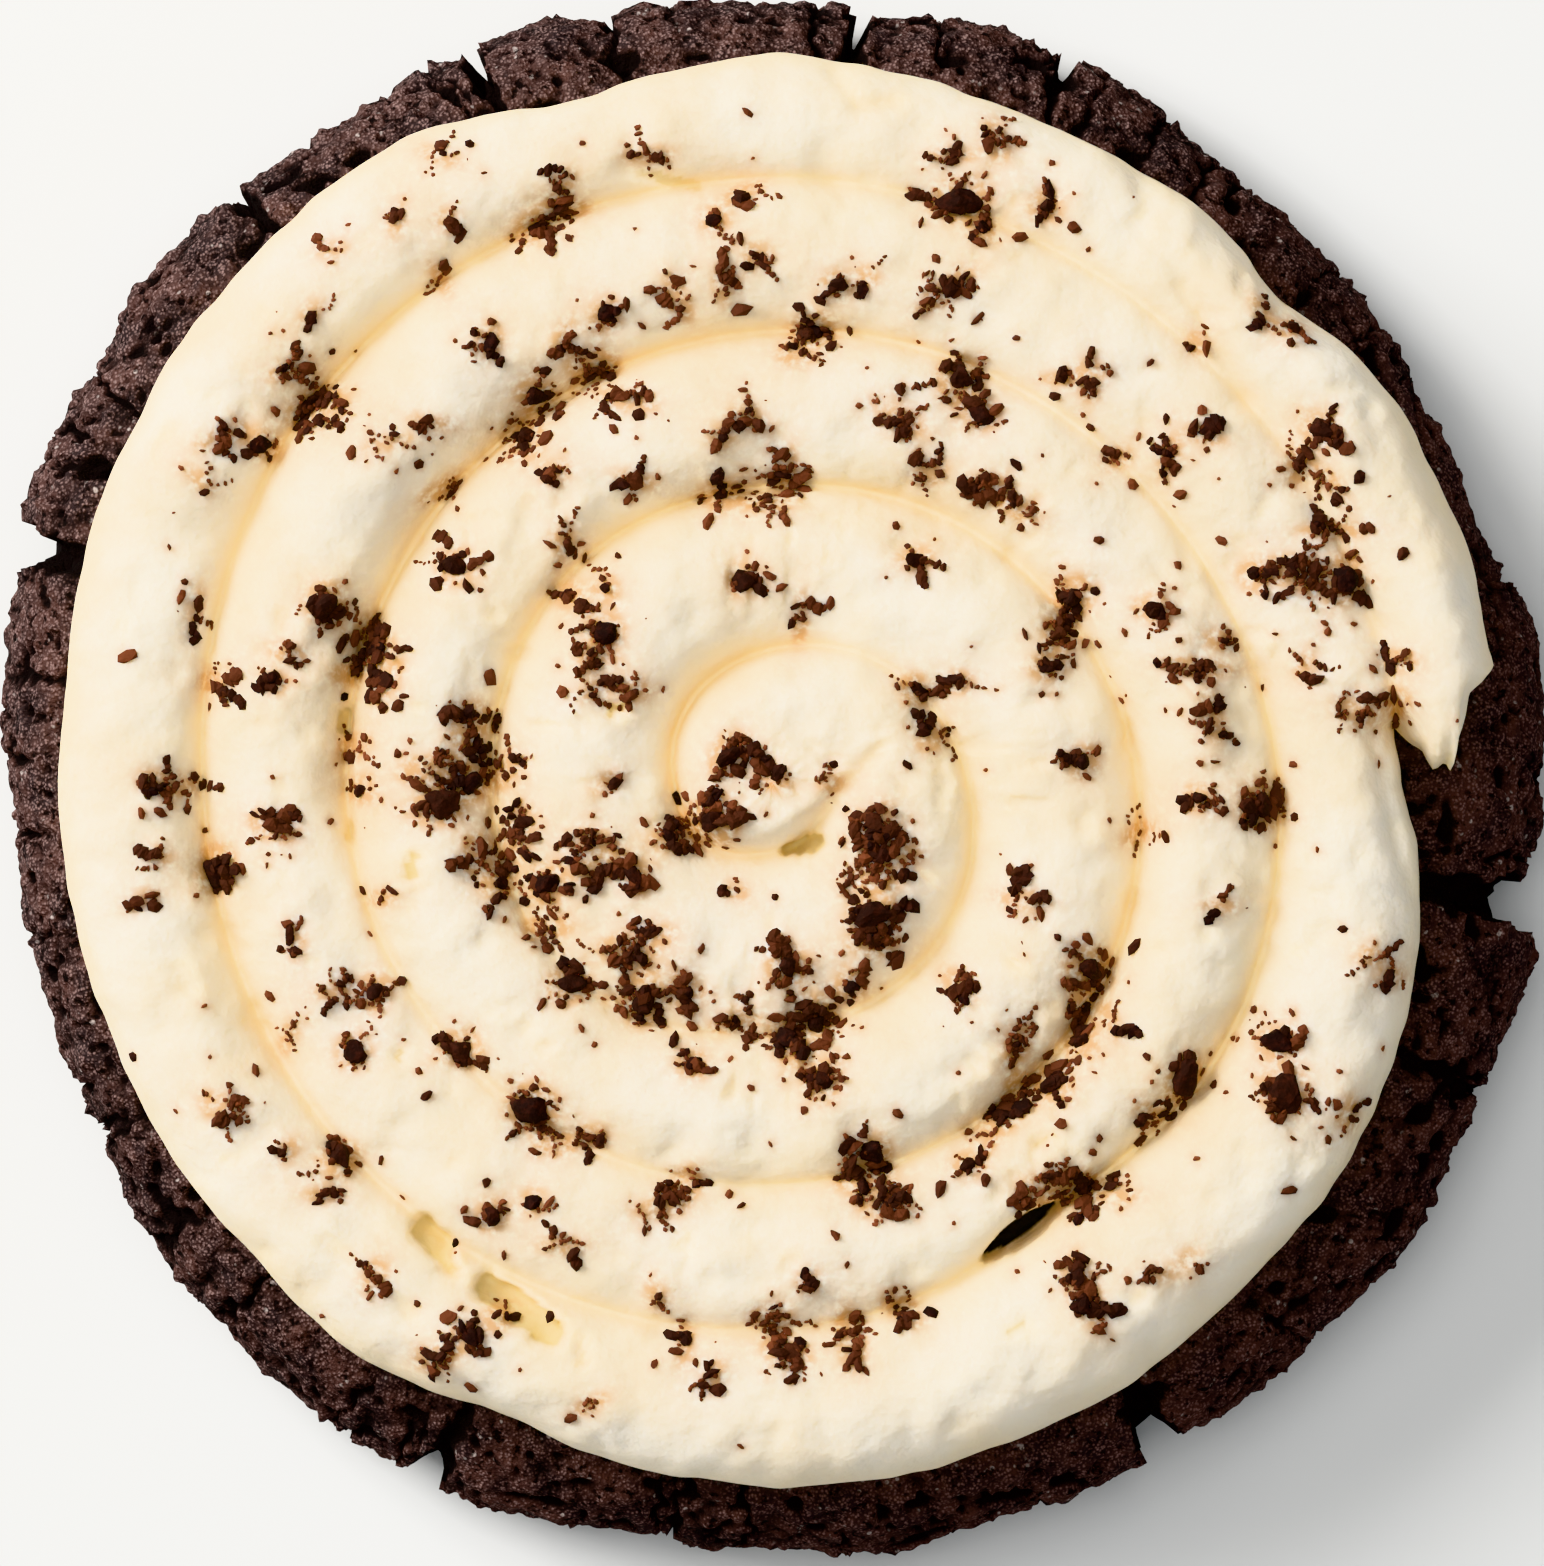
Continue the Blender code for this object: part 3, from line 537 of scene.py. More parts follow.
def crease_distance(x, y, path):
    """Distance from the nearest of the straight pieces between the path's points."""
    nearest = np.full(np.shape(x), 99.0)
    for (ax, ay), (bx, by) in zip(path, path[1:]):
        length = (bx - ax) ** 2 + (by - ay) ** 2
        t = np.clip(((x - ax) * (bx - ax) + (y - ay) * (by - ay)) / length, 0, 1)
        nearest = np.minimum(nearest, np.hypot(x - ax - t * (bx - ax), y - ay - t * (by - ay)))
    return nearest


def tear_share(x, y):
    """1 inside the tear, whose outline is a slim sine bow, and 0 from just beyond its lips."""
    along, over = turned(x, y, CREAM_TEAR)
    length, width = CREAM_TEAR[2:4]
    bow = width / 2 * np.cos(np.pi * np.clip(along / length, -0.5, 0.5))
    past_end = np.maximum(np.abs(along) - length / 2, 0)
    return 1 - smoothstep(0.0, 0.45, np.hypot(past_end, np.maximum(np.abs(over) - bow, 0)))


def dent_share(x, y, row):
    """1 on the flat floor of a dent, 0 outside it, and a steep side between."""
    along, over = turned(x, y, row)
    out = ((2 * along / row[2]) ** 4 + (2 * over / row[3]) ** 4) ** 0.25
    out = out * (1 + 0.3 * lumps(np.stack([x, y, 0 * x], axis=-1), 1.3, 56))
    return 1 - smoothstep(0.7, 1.15, out)


def cream_dents(x, y):
    """How deep the dents, pits and creases are.

    A dent has steep sides and a flat floor, and the others are bell curves of the distance from them.
    """
    deep = np.zeros(np.shape(x))
    chance = np.random.default_rng(CREAM_SEED)
    places = chance.uniform(-50, 50, (CREAM_PITS, 2))
    sizes = chance.uniform((0.45, 0.3, 0.12), (1.3, 0.6, 0.46), (CREAM_PITS, 3))
    leans = np.degrees(np.arctan2(places[:, 1], places[:, 0])) + 90 + chance.normal(0, 25, CREAM_PITS)
    for row in CREAM_DENTS:
        deep = deep + row[5] * dent_share(x, y, row)
    for at, size, lean in zip(places, sizes, leans):
        along, over = turned(x, y, (*at, *size[:2], lean))
        deep = deep + size[2] * np.exp(-((along / size[0]) ** 2) - (over / size[1]) ** 2)
    for path, depth, width in CREAM_CREASES:
        deep = deep + depth * np.exp(-((crease_distance(x, y, path) / width) ** 2))
    return deep


def cream_relief(x, y):
    """The cream's own unevenness: broad and small lumps, less the dents."""
    flat = np.stack([x, y, np.zeros_like(x)], axis=-1)
    uneven = 0.26 * lumps(flat, 8.0, 51) + 0.34 * lumps(flat, 3.6, 52) + 0.25 * lumps(flat, 1.9, 53)
    hollows = smoothstep(0.35, 0.75, lumps(flat, 1.3, 54)) * smoothstep(0.0, 0.5, lumps(flat, 9.0, 55))
    return uneven - 0.42 * hollows - cream_dents(x, y)


def on_top(z):
    """1 on the rope's upper side and 0 on its flank, so that no mark runs down the flank."""
    return smoothstep(CREAM_BASE + ROPE_EQUATOR - 1.0, CREAM_BASE + ROPE_EQUATOR + 1.0, z)


def cream_across():
    """Where the rows lie across the rope: a mean of even places and places closer towards the grooves."""
    even = np.arange(ROPE_ROWS + 1) / ROPE_ROWS
    return 0.42 * even + 0.58 * (0.5 - 0.5 * np.cos(np.pi * even))


def tail_reach(turns, across):
    """How far the loose end reaches on, in turns: a torn bulge that falls as a cube beside its tip."""
    bulge = (across - TAIL_TIP) / np.where(across < TAIL_TIP, TAIL_TIP, (1 - TAIL_TIP) / 0.7)
    torn = 1 + 0.3 * lumps(np.stack([across, 0 * across, 0 * across], axis=-1), 0.13, 45)
    ending = smoothstep(ROPE_END - 0.04, ROPE_END, turns)
    return TAIL_REACH / 360 * (1 - np.abs(bulge) ** 3) * torn * ending


def outer_ripple(turns):
    """How far the outer side lies out of its smooth curve: small lumps, less the step by the loose end."""
    edge = np.stack([turns * 300, 0 * turns, 0 * turns], axis=-1)
    ripple = 0.22 * lumps(edge, 5.0, 41) + 0.10 * lumps(edge, 1.8, 42)
    ripple = ripple + 0.30 * smoothstep(*RAGGED_TURNS, turns) * lumps(edge, 1.3, 43)
    step, step_from, step_to = STEP_AT_TAIL
    ripple = ripple - step * smoothstep(step_from, step_to, turns)
    return ripple - TAIL_NARROWING * smoothstep(step_to, ROPE_END, turns)


def fold_depth(turns, across, free):
    """Depth of the nearer groove below the crest, and nothing where the side is free or the rope starts."""
    crest = crest_height(turns)
    depth = np.where(across < 0.5, crest - groove_height(turns - 1), crest - groove_height(turns))
    depth = depth * smoothstep(0.15, 0.5, turns)
    return np.where(free, 0, depth)


def rope_surface():
    """Points over the rope by turns and across, and how much painted shade each has.

    Across the rope, the radius goes evenly from the groove inside it to the one outside it. The height is
    the rope's arch, less a narrow notch in the groove, plus the cream's relief. The painted shade is a wide
    and a narrow bell curve of the distance from the groove, times its depth.
    """
    columns = int(round((ROPE_END - ROPE_START) * COLUMNS_A_TURN))
    turns = ROPE_END - (columns - np.arange(columns + 1)) / COLUMNS_A_TURN
    turns, across = np.meshgrid(turns, cream_across(), indexing="ij")
    inner = np.where(turns - 1 > ROPE_START, groove_radius(turns - 1), 0)
    width = groove_radius(turns) - inner
    free = (across > 0.5) & (turns > ROPE_END - 1)
    ripple = np.where(free, outer_ripple(turns) * smoothstep(0.5, 1, across), 0)
    radius = inner + across * width + ripple
    angle = 2 * np.pi * (turns + tail_reach(turns, across))
    x, y = radius * np.cos(angle), -radius * np.sin(angle)
    z = rope_height(turns, across)
    aside = np.minimum(across, 1 - across) * width
    fold = fold_depth(turns, across, free)
    z = z - 0.20 * fold * np.exp(-((aside / 0.6) ** 2)) * tail_fall(turns)
    settled = smoothstep(ROPE_EQUATOR, ROPE_EQUATOR + 2.5, z)
    drawn = np.stack([turns * 40, radius / 1.1, 0 * turns], axis=-1)
    z = z + (cream_relief(x, y) + 0.07 * lumps(drawn, 1.0, 44)) * settled
    z = z + (TEAR_FLOOR - z) * tear_share(x, y)
    # Painted shade: yellow near each groove, more where it is deeper, and towards the free outer edge.
    near_groove = 0.48 * np.exp(-((aside / 2.3) ** 2)) + 0.42 * np.exp(-((aside / 0.4) ** 2))
    shade = near_groove * np.clip(fold / 2.8, 0, 1)
    shade = shade + np.where(free, 0.4 * smoothstep(0.82, 1, across), 0)
    return np.stack([x, y, z], axis=-1), shade


def inward(loop):
    """The directions into the outline at each of its points, evened out over its neighbours."""
    along = np.roll(loop, -1, axis=0) - np.roll(loop, 1, axis=0)
    normal = np.stack([along[:, 1], -along[:, 0]], axis=1)
    normal /= np.maximum(np.linalg.norm(normal, axis=1, keepdims=True), 1e-9)
    for _ in range(OUTLINE_SMOOTHINGS):
        normal = normal + 0.5 * (np.roll(normal, 1, axis=0) + np.roll(normal, -1, axis=0))
        normal /= np.linalg.norm(normal, axis=1, keepdims=True)
    return normal * np.sign(-np.sum(normal * loop, axis=1).mean())


def cream_flank(loop):
    """Rings below the rope's widest place: a quarter ellipse that pulls in as it goes down to the cookie.

    Shallow strokes run along it, twelve times as long as they are high.
    """
    way = inward(loop[:, :2])
    rings = []
    for a in np.linspace(0, np.pi / 2, FLANK_RINGS + 1)[1:]:
        level = np.full(len(loop), 8 * np.sin(a))
        strokes = lumps(np.column_stack([loop[:, :2] / 12, level]), 1.3, 57)
        uneven = 0.22 * strokes + 0.22 * lumps(np.column_stack([loop[:, :2], level]), 3.0, 58)
        reach = ROPE_UNDERCUT * (1 - np.cos(a)) + uneven * np.sin(2 * a)
        place = loop[:, :2] + way * reach[:, None]
        foot = cookie_top(place[:, 0], place[:, 1]) - CREAM_SUNK - CREAM_BASE
        z = loop[:, 2] + (foot - loop[:, 2]) * np.sin(a)
        rings.append(np.column_stack([place, z]))
    return np.array(rings)


def piped_cream():
    """Smooth soft cream, pale on the crests, with painted yellow shade in its folds and dents.

    The cream round the crumbs is brown, partly cocoa stain and partly painted shade.
    """
    made, tree, shader = new_material(
        "piped_cream",
        Roughness=0.55,
        Specular_IOR_Level=0.25,
        Subsurface_Weight=1.0,
        Subsurface_Radius=(1.0, 0.80, 0.40),
        Subsurface_Scale=1.25 * MM,
    )
    place = add_node(tree, "TexCoord").outputs["Object"]
    shader.subsurface_method = "BURLEY"
    fold = add_node(tree, "Attribute", attribute_name="fold").outputs["Fac"]
    stain = add_node(tree, "Attribute", attribute_name="stain").outputs["Fac"]
    pocket = add_node(tree, "Attribute", attribute_name="pocket").outputs["Fac"]
    tear = add_node(tree, "Attribute", attribute_name="tear").outputs["Fac"]
    cloudy = ramp(tree, noise(tree, place, 120, 3.0), 0.3, 0.75)
    colour = mixed(tree, cloudy, CREAM_LIGHT, CREAM_WARM)
    # Painted shade: the fold layer makes the cream yellow in its grooves, on its flank and in its dents.
    colour = mixed(tree, fold, colour, CREAM_FOLD_SHADE)
    # Painted shade on the floors of the deepest dents.
    colour = mixed(tree, ramp(tree, pocket, 0.3, 0.75), colour, CREAM_POCKET_SHADE)
    # Brown round the crumbs: partly cocoa stain, partly painted shade.
    blotchy = multiplied(tree, stain, ramp(tree, noise(tree, place, 1500, 2.0), 0.2, 0.6))
    colour = mixed(tree, blotchy, colour, CREAM_STAIN_AND_SHADE)
    # The tear's floor is painted as the cookie in shade: dark dough made near-black by painted shade.
    colour = mixed(tree, ramp(tree, tear, 0.75, 0.97), colour, COOKIE_PAINTED_SHADE)
    tree.links.new(colour, shader.inputs["Base Color"])
    height = noise(tree, place, 480, 3.0, 0.6)
    soft = add_node(tree, "Bump", (("Strength", 0.75), ("Distance", 0.45 * MM), ("Height", height)))
    tree.links.new(soft.outputs["Normal"], shader.inputs["Normal"])
    return made


def without_doubles(quads):
    """The whole quads, and as triangles those that have one point twice."""
    whole = (quads[:, 0] != quads[:, 1]) & (quads[:, 2] != quads[:, 3])
    whole &= (quads[:, 1] != quads[:, 2]) & (quads[:, 3] != quads[:, 0])
    thin = [list(dict.fromkeys(quad)) for quad in quads[~whole].tolist()]
    return quads[whole], np.array([corners for corners in thin if len(corners) == 3])


def mark_cream(piece, points, fold):
    """What the cream's material reads: painted shade in its folds and dents, painted shade on the deep dents'
    floors, and the tear, which is painted dark.
    """
    x, y, z = points.T
    dents = smoothstep(0.3, 1.6, cream_dents(x, y)) * on_top(z)
    # The fold layer is painted shade: the yellow of the grooves and the flank, with that of the dents.
    point_values(piece, "fold", np.clip(fold + DENT_SHADE * dents, 0, 1))
    # Painted shade on the floors of the deepest dents, stronger in deeper ones.
    pockets = [row for row in CREAM_DENTS if row[5] >= POCKET_DEPTH]
    share = [dent_share(x, y, row) * min(row[5], 1) for row in pockets]
    point_values(piece, "pocket", np.max(share, axis=0))
    point_values(piece, "tear", tear_share(x, y))


def build_cream():
    """The rope's grid, whose inner row is the outer row of the turn before, then its flank and underside."""
    grid, shade = rope_surface()
    columns, rows = grid.shape[:2]
    number = np.zeros((columns, rows), int)
    number[1:, 1:] = 1 + np.arange((columns - 1) * (rows - 1)).reshape(columns - 1, rows - 1)
    number[COLUMNS_A_TURN + 1:, 0] = number[1:columns - COLUMNS_A_TURN, -1]
    pole = np.array([[0.0, 0.0, crest_height(np.float64(0.0))]])
    quads = np.stack([number[:-1, :-1], number[1:, :-1], number[1:, 1:], number[:-1, 1:]], axis=-1)
    quads = quads.reshape(-1, 4)
    last = columns - 1
    side = number[last - COLUMNS_A_TURN:, -1]
    end = number[last, -2:0:-1]
    edge = np.concatenate([side, end])
    points = np.concatenate([pole, grid[1:, 1:].reshape(-1, 3)])
    rings = cream_flank(points[edge])
    below = len(points) + np.arange(rings.shape[0] * rings.shape[1]).reshape(rings.shape[:2])
    levels = np.concatenate([edge[None], below])
    following = np.roll(levels, -1, axis=1)
    flank = np.stack([levels[:-1], following[:-1], following[1:], levels[1:]], axis=-1).reshape(-1, 4)
    quads, triangles = without_doubles(np.concatenate([quads, flank]))
    points = np.concatenate([points, rings.reshape(-1, 3)])
    points[:, 2] += CREAM_BASE
    piece = mesh_piece("cream_piped", points, quads, triangles, [levels[-1].tolist()], piped_cream())
    # Painted shade over the whole flank below the widest place.
    flank_shade = np.full(rings.shape[0] * rings.shape[1], FLANK_SHADE)
    mark_cream(piece, points, np.concatenate([[0.0], shade[1:, 1:].ravel(), flank_shade]))
    return piece


cream = build_cream()
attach(cream, "root")
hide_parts("cream_swirl")


# ----------------------------------------------------------------------------------------------------
# The crumbs
#
# The same kind of cookie, crushed by hand and sprinkled over the soft cream: chips that are lumps of
# grains, small grains round them and dust. They sink in a little, and the cream round them is browned,
# partly by their cocoa stain and partly as painted shade.

# The chips as they lie in the photograph, read to half a millimetre: place, length, width and turn in
# degrees, largest first.
CHIPS = (
    (20, -28, 4.6, 2.4, 5), (-4, -2.5, 3.3, 3, -30), (13, 40.5, 3.7, 2.6, 10),
    (7.5, -3.5, 3.9, 2.5, 85), (-16.5, -22.5, 3, 3, 0), (-9, -15, 3.5, 2.6, 80),
    (-31.5, 26, 3.8, 2.4, 15), (35.5, -21.5, 3, 2.9, 0), (21.5, -35, 4.2, 2.1, -70),
    (-27.5, 9.5, 3.6, 2.4, -70), (13, 28, 3, 2.8, -60), (34, -1.5, 3, 2.8, -20),
    (3, -16.5, 3.2, 2.6, 90), (39.5, 14, 3, 2.6, 80), (-23, -1.5, 3.3, 2.4, 20),
    (36.5, 14.5, 3.5, 2.1, -20), (-38.5, -6, 3, 2.4, 80), (7, -9, 3, 2.4, 0), (22, -13, 3, 2.4, -20),
    (-15.5, -7, 2.6, 2.5, 0), (-23.5, 1, 3.9, 1.7, 10), (-3, 2, 3, 2.1, 60), (28.5, -20.5, 3, 2.1, 70),
    (-10, -11.5, 3.5, 1.8, 0), (6.5, -27.5, 3.5, 1.8, 5), (5.5, -38.5, 3.5, 1.8, -80),
    (-31, 12.5, 2.5, 2.4, 30), (1, -12.5, 2.5, 2.4, 0), (-14, -14, 2.6, 2.2, 0), (12, 34, 4.2, 1.4, 35),
    (-17.5, -3.5, 3.5, 1.7, 85), (1, -18, 2.8, 2.1, -60), (-21.5, -18.5, 2.8, 2.1, -20),
    (-21, 4, 2.9, 1.9, 80), (3.5, -20.5, 2.4, 2.4, 0), (21, 13, 2.5, 2.2, 60), (-12.5, 29, 3, 1.8, 0),
    (-34.5, -3, 3, 1.8, -20), (7, -6.5, 3, 1.8, -10), (-6.5, -3.5, 3, 1.7, 20), (7, -11, 3, 1.7, 0),
    (20, 10.5, 2.8, 1.8, 70), (-17, 24, 2.4, 2.1, 80), (-22, 15, 2.4, 2.1, -45),
    (35, -18, 2.4, 2.1, -20), (-30, -26, 2.5, 1.9, 10), (1, -39.5, 2.9, 1.7, -20),
    (2, 30, 2.6, 1.8, 10), (-42, 0, 3, 1.5, -15), (9, 25, 2.8, 1.7, -20), (-11.5, 10.5, 2.2, 2.1, 0),
    (3, 31.5, 2.4, 1.9, -20), (-29, -18.5, 2.1, 2.1, -30), (7, -25.5, 2.1, 2.1, 60),
    (38, 24.5, 2.2, 1.9, -40), (29.5, 8, 3.9, 1.1, -5), (-12.5, -4, 2.8, 1.5, -10),
    (16, -23.5, 2.8, 1.5, 35), (21.5, -15.5, 2.8, 1.5, 85), (-38, -22.5, 2.5, 1.7, -25),
    (-6, -28, 2.5, 1.7, 60), (-16.5, 38.5, 2.1, 1.9, 0), (19.5, -21, 2.1, 1.9, -40),
    (-27.5, -14.5, 2.2, 1.8, 90), (23, -28.5, 3.6, 1.1, 0), (-10, 26.5, 3.2, 1.2, -8),
    (-9.5, -6.5, 2.4, 1.7, -60), (15, 20.5, 2.5, 1.5, 0), (17, -18, 2.5, 1.5, 70),
    (39, 17.5, 3.9, 1, 0), (-16.5, 27, 2.1, 1.8, 0), (14.5, 25.5, 2.1, 1.8, -20),
    (-21, 0, 2.1, 1.8, -30), (-6, -14.5, 2.2, 1.7, -70), (26.5, 12, 2.2, 1.7, -20),
    (22, 28, 2.6, 1.4, 90), (-12, -6, 2.6, 1.4, 10), (9, -36.5, 2.6, 1.4, -40),
    (-20.5, -5, 2.4, 1.5, 80), (-21.5, -38.5, 2.4, 1.5, 30), (8, -29.5, 2.8, 1.2, 0),
    (30.5, 4.5, 2.8, 1.2, -75), (21.5, -18, 2.1, 1.7, 50), (-0.5, 19.5, 3, 1.1, -5),
    (0, 0.5, 2.2, 1.5, -30), (-2.5, -16.5, 2.6, 1.2, 10), (15.5, 44.5, 2.4, 1.4, -70),
    (40.5, 5, 2.4, 1.4, -15), (-2, 14, 1.8, 1.8, 60), (5.5, -14, 1.8, 1.8, 0), (21.5, 1.5, 1.8, 1.8, 0),
    (-3.5, 20, 1.9, 1.7, 0), (-19, -7, 1.9, 1.7, 0), (-35.5, 23.5, 2.1, 1.5, -30),
    (-15.5, -10, 2.5, 1.2, 0), (-18.5, 1, 2.2, 1.4, 70), (17.5, -8, 2.8, 1.1, -5),
    (-11.5, 32.5, 1.8, 1.7, 0), (19, 40, 1.8, 1.7, 0), (-19.5, -30, 1.8, 1.7, 60),
    (33.5, 14.5, 1.8, 1.7, 20), (-5.5, -19.5, 1.9, 1.5, -10), (19, 8, 1.9, 1.5, 0),
    (29.5, -1, 1.9, 1.5, 0), (-6.5, 33.5, 2.4, 1.2, -60), (-12.5, 9, 2.1, 1.4, 80),
    (-23.5, -40, 2.1, 1.4, 0), (13, -14, 2.1, 1.4, -40), (10, 6.5, 1.8, 1.5, -50),
    (-19.5, 30.5, 1.9, 1.4, 70), (1, 21.5, 2.8, 1, 80), (17, 19, 2.8, 1, -25), (10, 15.5, 1.9, 1.4, 0),
    (-33.5, 28.5, 2.4, 1.1, 10), (27.5, 22.5, 2.4, 1.1, 80), (-8, -29.5, 2.4, 1.1, 10),
    (-15, -25, 2.1, 1.2, -10), (0, -37, 2.1, 1.2, 0), (-14.5, 40, 2.5, 1, -5),
    (26.5, -23, 1.9, 1.2, -10), (-4, 39, 1.7, 1.4, 0), (4.5, 34.5, 1.7, 1.4, -30),
    (14.5, 38.5, 1.7, 1.4, -30), (-14, 13, 1.7, 1.4, 20), (-12, 6.5, 2.1, 1.1, 20),
    (13.5, -26.5, 1.7, 1.4, 0), (-30, -14.5, 2.4, 1, 0), (-14.5, -32, 2.4, 1, 0),
    (36.5, 22, 1.8, 1.2, 90), (-27.5, -34, 1.8, 1.2, 60), (-19, -37, 1.8, 1.2, 20),
    (43.5, 8.5, 1.9, 1.1, -10), (-28.5, -0.5, 1.5, 1.4, -30), (-16.5, -29, 1.5, 1.4, 0),
    (11, 21.5, 1.7, 1.2, 20), (-38.5, 7, 1.7, 1.2, 0), (-29, 2.5, 1.7, 1.2, 30),
    (-12.5, -24.5, 1.7, 1.2, 0), (40, -23, 1.8, 1.1, 85), (-8.5, 43.5, 2.4, 0.8, 5),
    (12.5, 43.5, 2.4, 0.8, 0), (-26.5, 7, 2.4, 0.8, 60), (2, 11.5, 2.4, 0.8, 85),
    (-38, 24, 2.8, 0.7, 20), (-11.5, 13.5, 1.4, 1.4, 0), (11, 3, 1.5, 1.2, 40), (13, 7, 1.5, 1.2, 0),
    (-14.5, 17, 1.7, 1.1, 90), (-3.5, 34.5, 1.9, 0.9, -80), (-1.5, 25.5, 1.8, 1, -45),
    (-26.5, 23.5, 2.5, 0.7, 10), (-34.5, 7, 1.4, 1.2, -40), (-9.5, 6.5, 1.4, 1.2, 0),
    (-23, 43.5, 2.1, 0.8, -20), (-2, 41, 2.1, 0.8, 25), (-9.5, 21, 2.1, 0.8, -15),
    (-15, 21.5, 1.5, 1.1, 20), (38.5, 21, 2.2, 0.8, -40), (-4, -41, 1.5, 1.1, 60),
    (37, 8, 1.5, 1.1, 85), (-23, 20.5, 2.4, 0.7, 35), (34, 32.5, 1.9, 0.8, -60),
    (30, 24, 1.9, 0.8, -15), (-33, -11, 1.7, 1, 90), (-6, -39, 1.9, 0.8, 80), (2.5, -34.5, 1.2, 1.2, 0),
    (-1, 36.5, 1.4, 1.1, 0), (24, 22.5, 1.4, 1.1, 30), (17, -21, 1.4, 1.1, 80),
    (43.5, 5.5, 1.4, 1.1, 80), (-33.5, 9, 1.7, 0.9, -15), (-31, -28.5, 1.8, 0.8, 0),
    (-12.5, -43, 1.8, 0.8, 25), (25.5, -3.5, 1.7, 0.9, 30), (23.5, -16.5, 1.8, 0.8, -70),
    (-14.5, 41.5, 1.5, 1, 70), (-29.5, 7.5, 1.5, 1, 0), (-8, -35.5, 1.5, 1, -70), (31, 10, 1.4, 1, 0),
    (-14.5, 31, 1.7, 0.8, 60), (-3.5, 24, 1.2, 1.1, 0), (-33.5, -17.5, 1.7, 0.8, 70),
    (41.5, -12, 1.4, 1, 0), (-40, 12, 2.1, 0.6, 75), (-30.5, 37, 1.5, 0.8, 10), (-26, 39, 1.5, 0.8, 80),
    (36, 31.5, 1.4, 0.9, 0), (43, -13.5, 1.4, 0.9, 10), (-22.5, 39, 1.1, 1.1, 0),
    (29.5, 30.5, 1.2, 1, 90), (-11.5, 0, 1.4, 0.8, 45), (6.5, 35, 1.2, 1, 0), (9.5, -5, 1.2, 0.9, 80),
    (-7.5, -10.5, 1.2, 0.9, 0), (-23, 35, 1.5, 0.7, -60), (31, -8.5, 1.5, 0.7, 0), (4, 0, 1.2, 0.8, 0),
    (-2.5, -7.5, 1.2, 0.8, -20), (-33.5, -25.5, 1.2, 0.8, 60), (-32, 32.5, 1.4, 0.7, 50),
    (27, -34, 1.4, 0.7, 10), (-23.5, 25, 1.9, 0.5, -10), (-42.5, -5, 1.2, 0.8, -20),
    (20, 28, 1.4, 0.6, 0), (-43.5, -8, 1.2, 0.7, 20), (-27, -8, 1.2, 0.7, 0),
    (-39.5, 21, 1.1, 0.7, -30), (29, -33, 0.9, 0.8, 0),
)
SPRINKLED_FROM = 60.0  # height
SPRINKLED_OUT_TO = 49.0  # distance from the middle
STEEPEST_SEAT = 0.35  # least upward part of the cream's direction where a crumb stays
CHIP_SUNK = 0.3  # share of a chip's thickness that is in the cream
SOLID_CHIP = (1.4, 0.7)  # least width and least width / length of a chip that held together
STRINGS_A_SQUARE = 3.6  # strings of grains for each square millimetre of a chip's outline
STRING_LENGTH = (1, 5)  # grains
STRING_STEP = 0.34  # from one grain of a string to the next
OVAL_AREA = 0.785  # of the rectangle round it
# Loose crumbs: their number, least and largest size, spread round the chips, share that lies near
# chips, and range of redness.
LOOSE_GRAINS = (1000, (0.30, 0.95), 0.8, 0.9, (0, 0.8))
DUST = (120, (0.16, 0.26), 1.0, 0.95, (0.4, 1))
CRUMB_SEED = 11
# Brown rings in the cream round the crumbs, partly cocoa stain and partly painted shade.
CHIP_STAIN_AND_SHADE, WIDE_STAIN_AND_SHADE, GRAIN_STAIN_AND_SHADE = (0.80, 0.5), (0.18, 1.9), (0.6, 0.5)  # strength and reach
CHIP_STAIN_AND_SHADE_ENDS, GRAIN_STAIN_AND_SHADE_ENDS = 9, 1.5  # distance beyond which a stain isn't worked out

CRUMB_DARK = (0.016, 0.0092, 0.0085, 1)
CRUMB_BROWN = (0.040, 0.0148, 0.0118, 1)
CRUMB_RED = (0.19, 0.064, 0.034, 1)

draw = np.random.default_rng(CRUMB_SEED)


def stone(level):
    """Points and triangles of a ball of radius 1."""
    shape = bmesh.new()
    bmesh.ops.create_icosphere(shape, subdivisions=level, radius=1.0)
    points = np.array([v.co for v in shape.verts])
    triangles = np.array([[v.index for v in f.verts] for f in shape.faces])
    shape.free()
    return points, triangles


def seat(x, y):
    """Where places lie on the cream, and the cream's directions there; places off it are left out."""
    down = (0, 0, -1)
    hits = [cream.ray_cast((a * MM, b * MM, SPRINKLED_FROM * MM), down) for a, b in zip(x, y)]
    landed = np.array([hit[0] and hit[2].z > STEEPEST_SEAT for hit in hits])
    place = np.array([tuple(hit[1]) for hit in hits]) / MM
    normal = np.array([tuple(hit[2]) for hit in hits])
    landed &= tear_share(x, y) < 0.05
    return landed, place, normal


def axes_on(normal, turn):
    """Three directions for each piece: along its length, across it, and out of the cream."""
    turn = np.radians(turn)
    along = np.stack([np.cos(turn), np.sin(turn), np.zeros_like(turn)], axis=-1)
    along = along - normal * np.sum(along * normal, axis=-1, keepdims=True)
    along /= np.linalg.norm(along, axis=-1, keepdims=True)
    return np.stack([along, np.cross(normal, along), normal], axis=1)


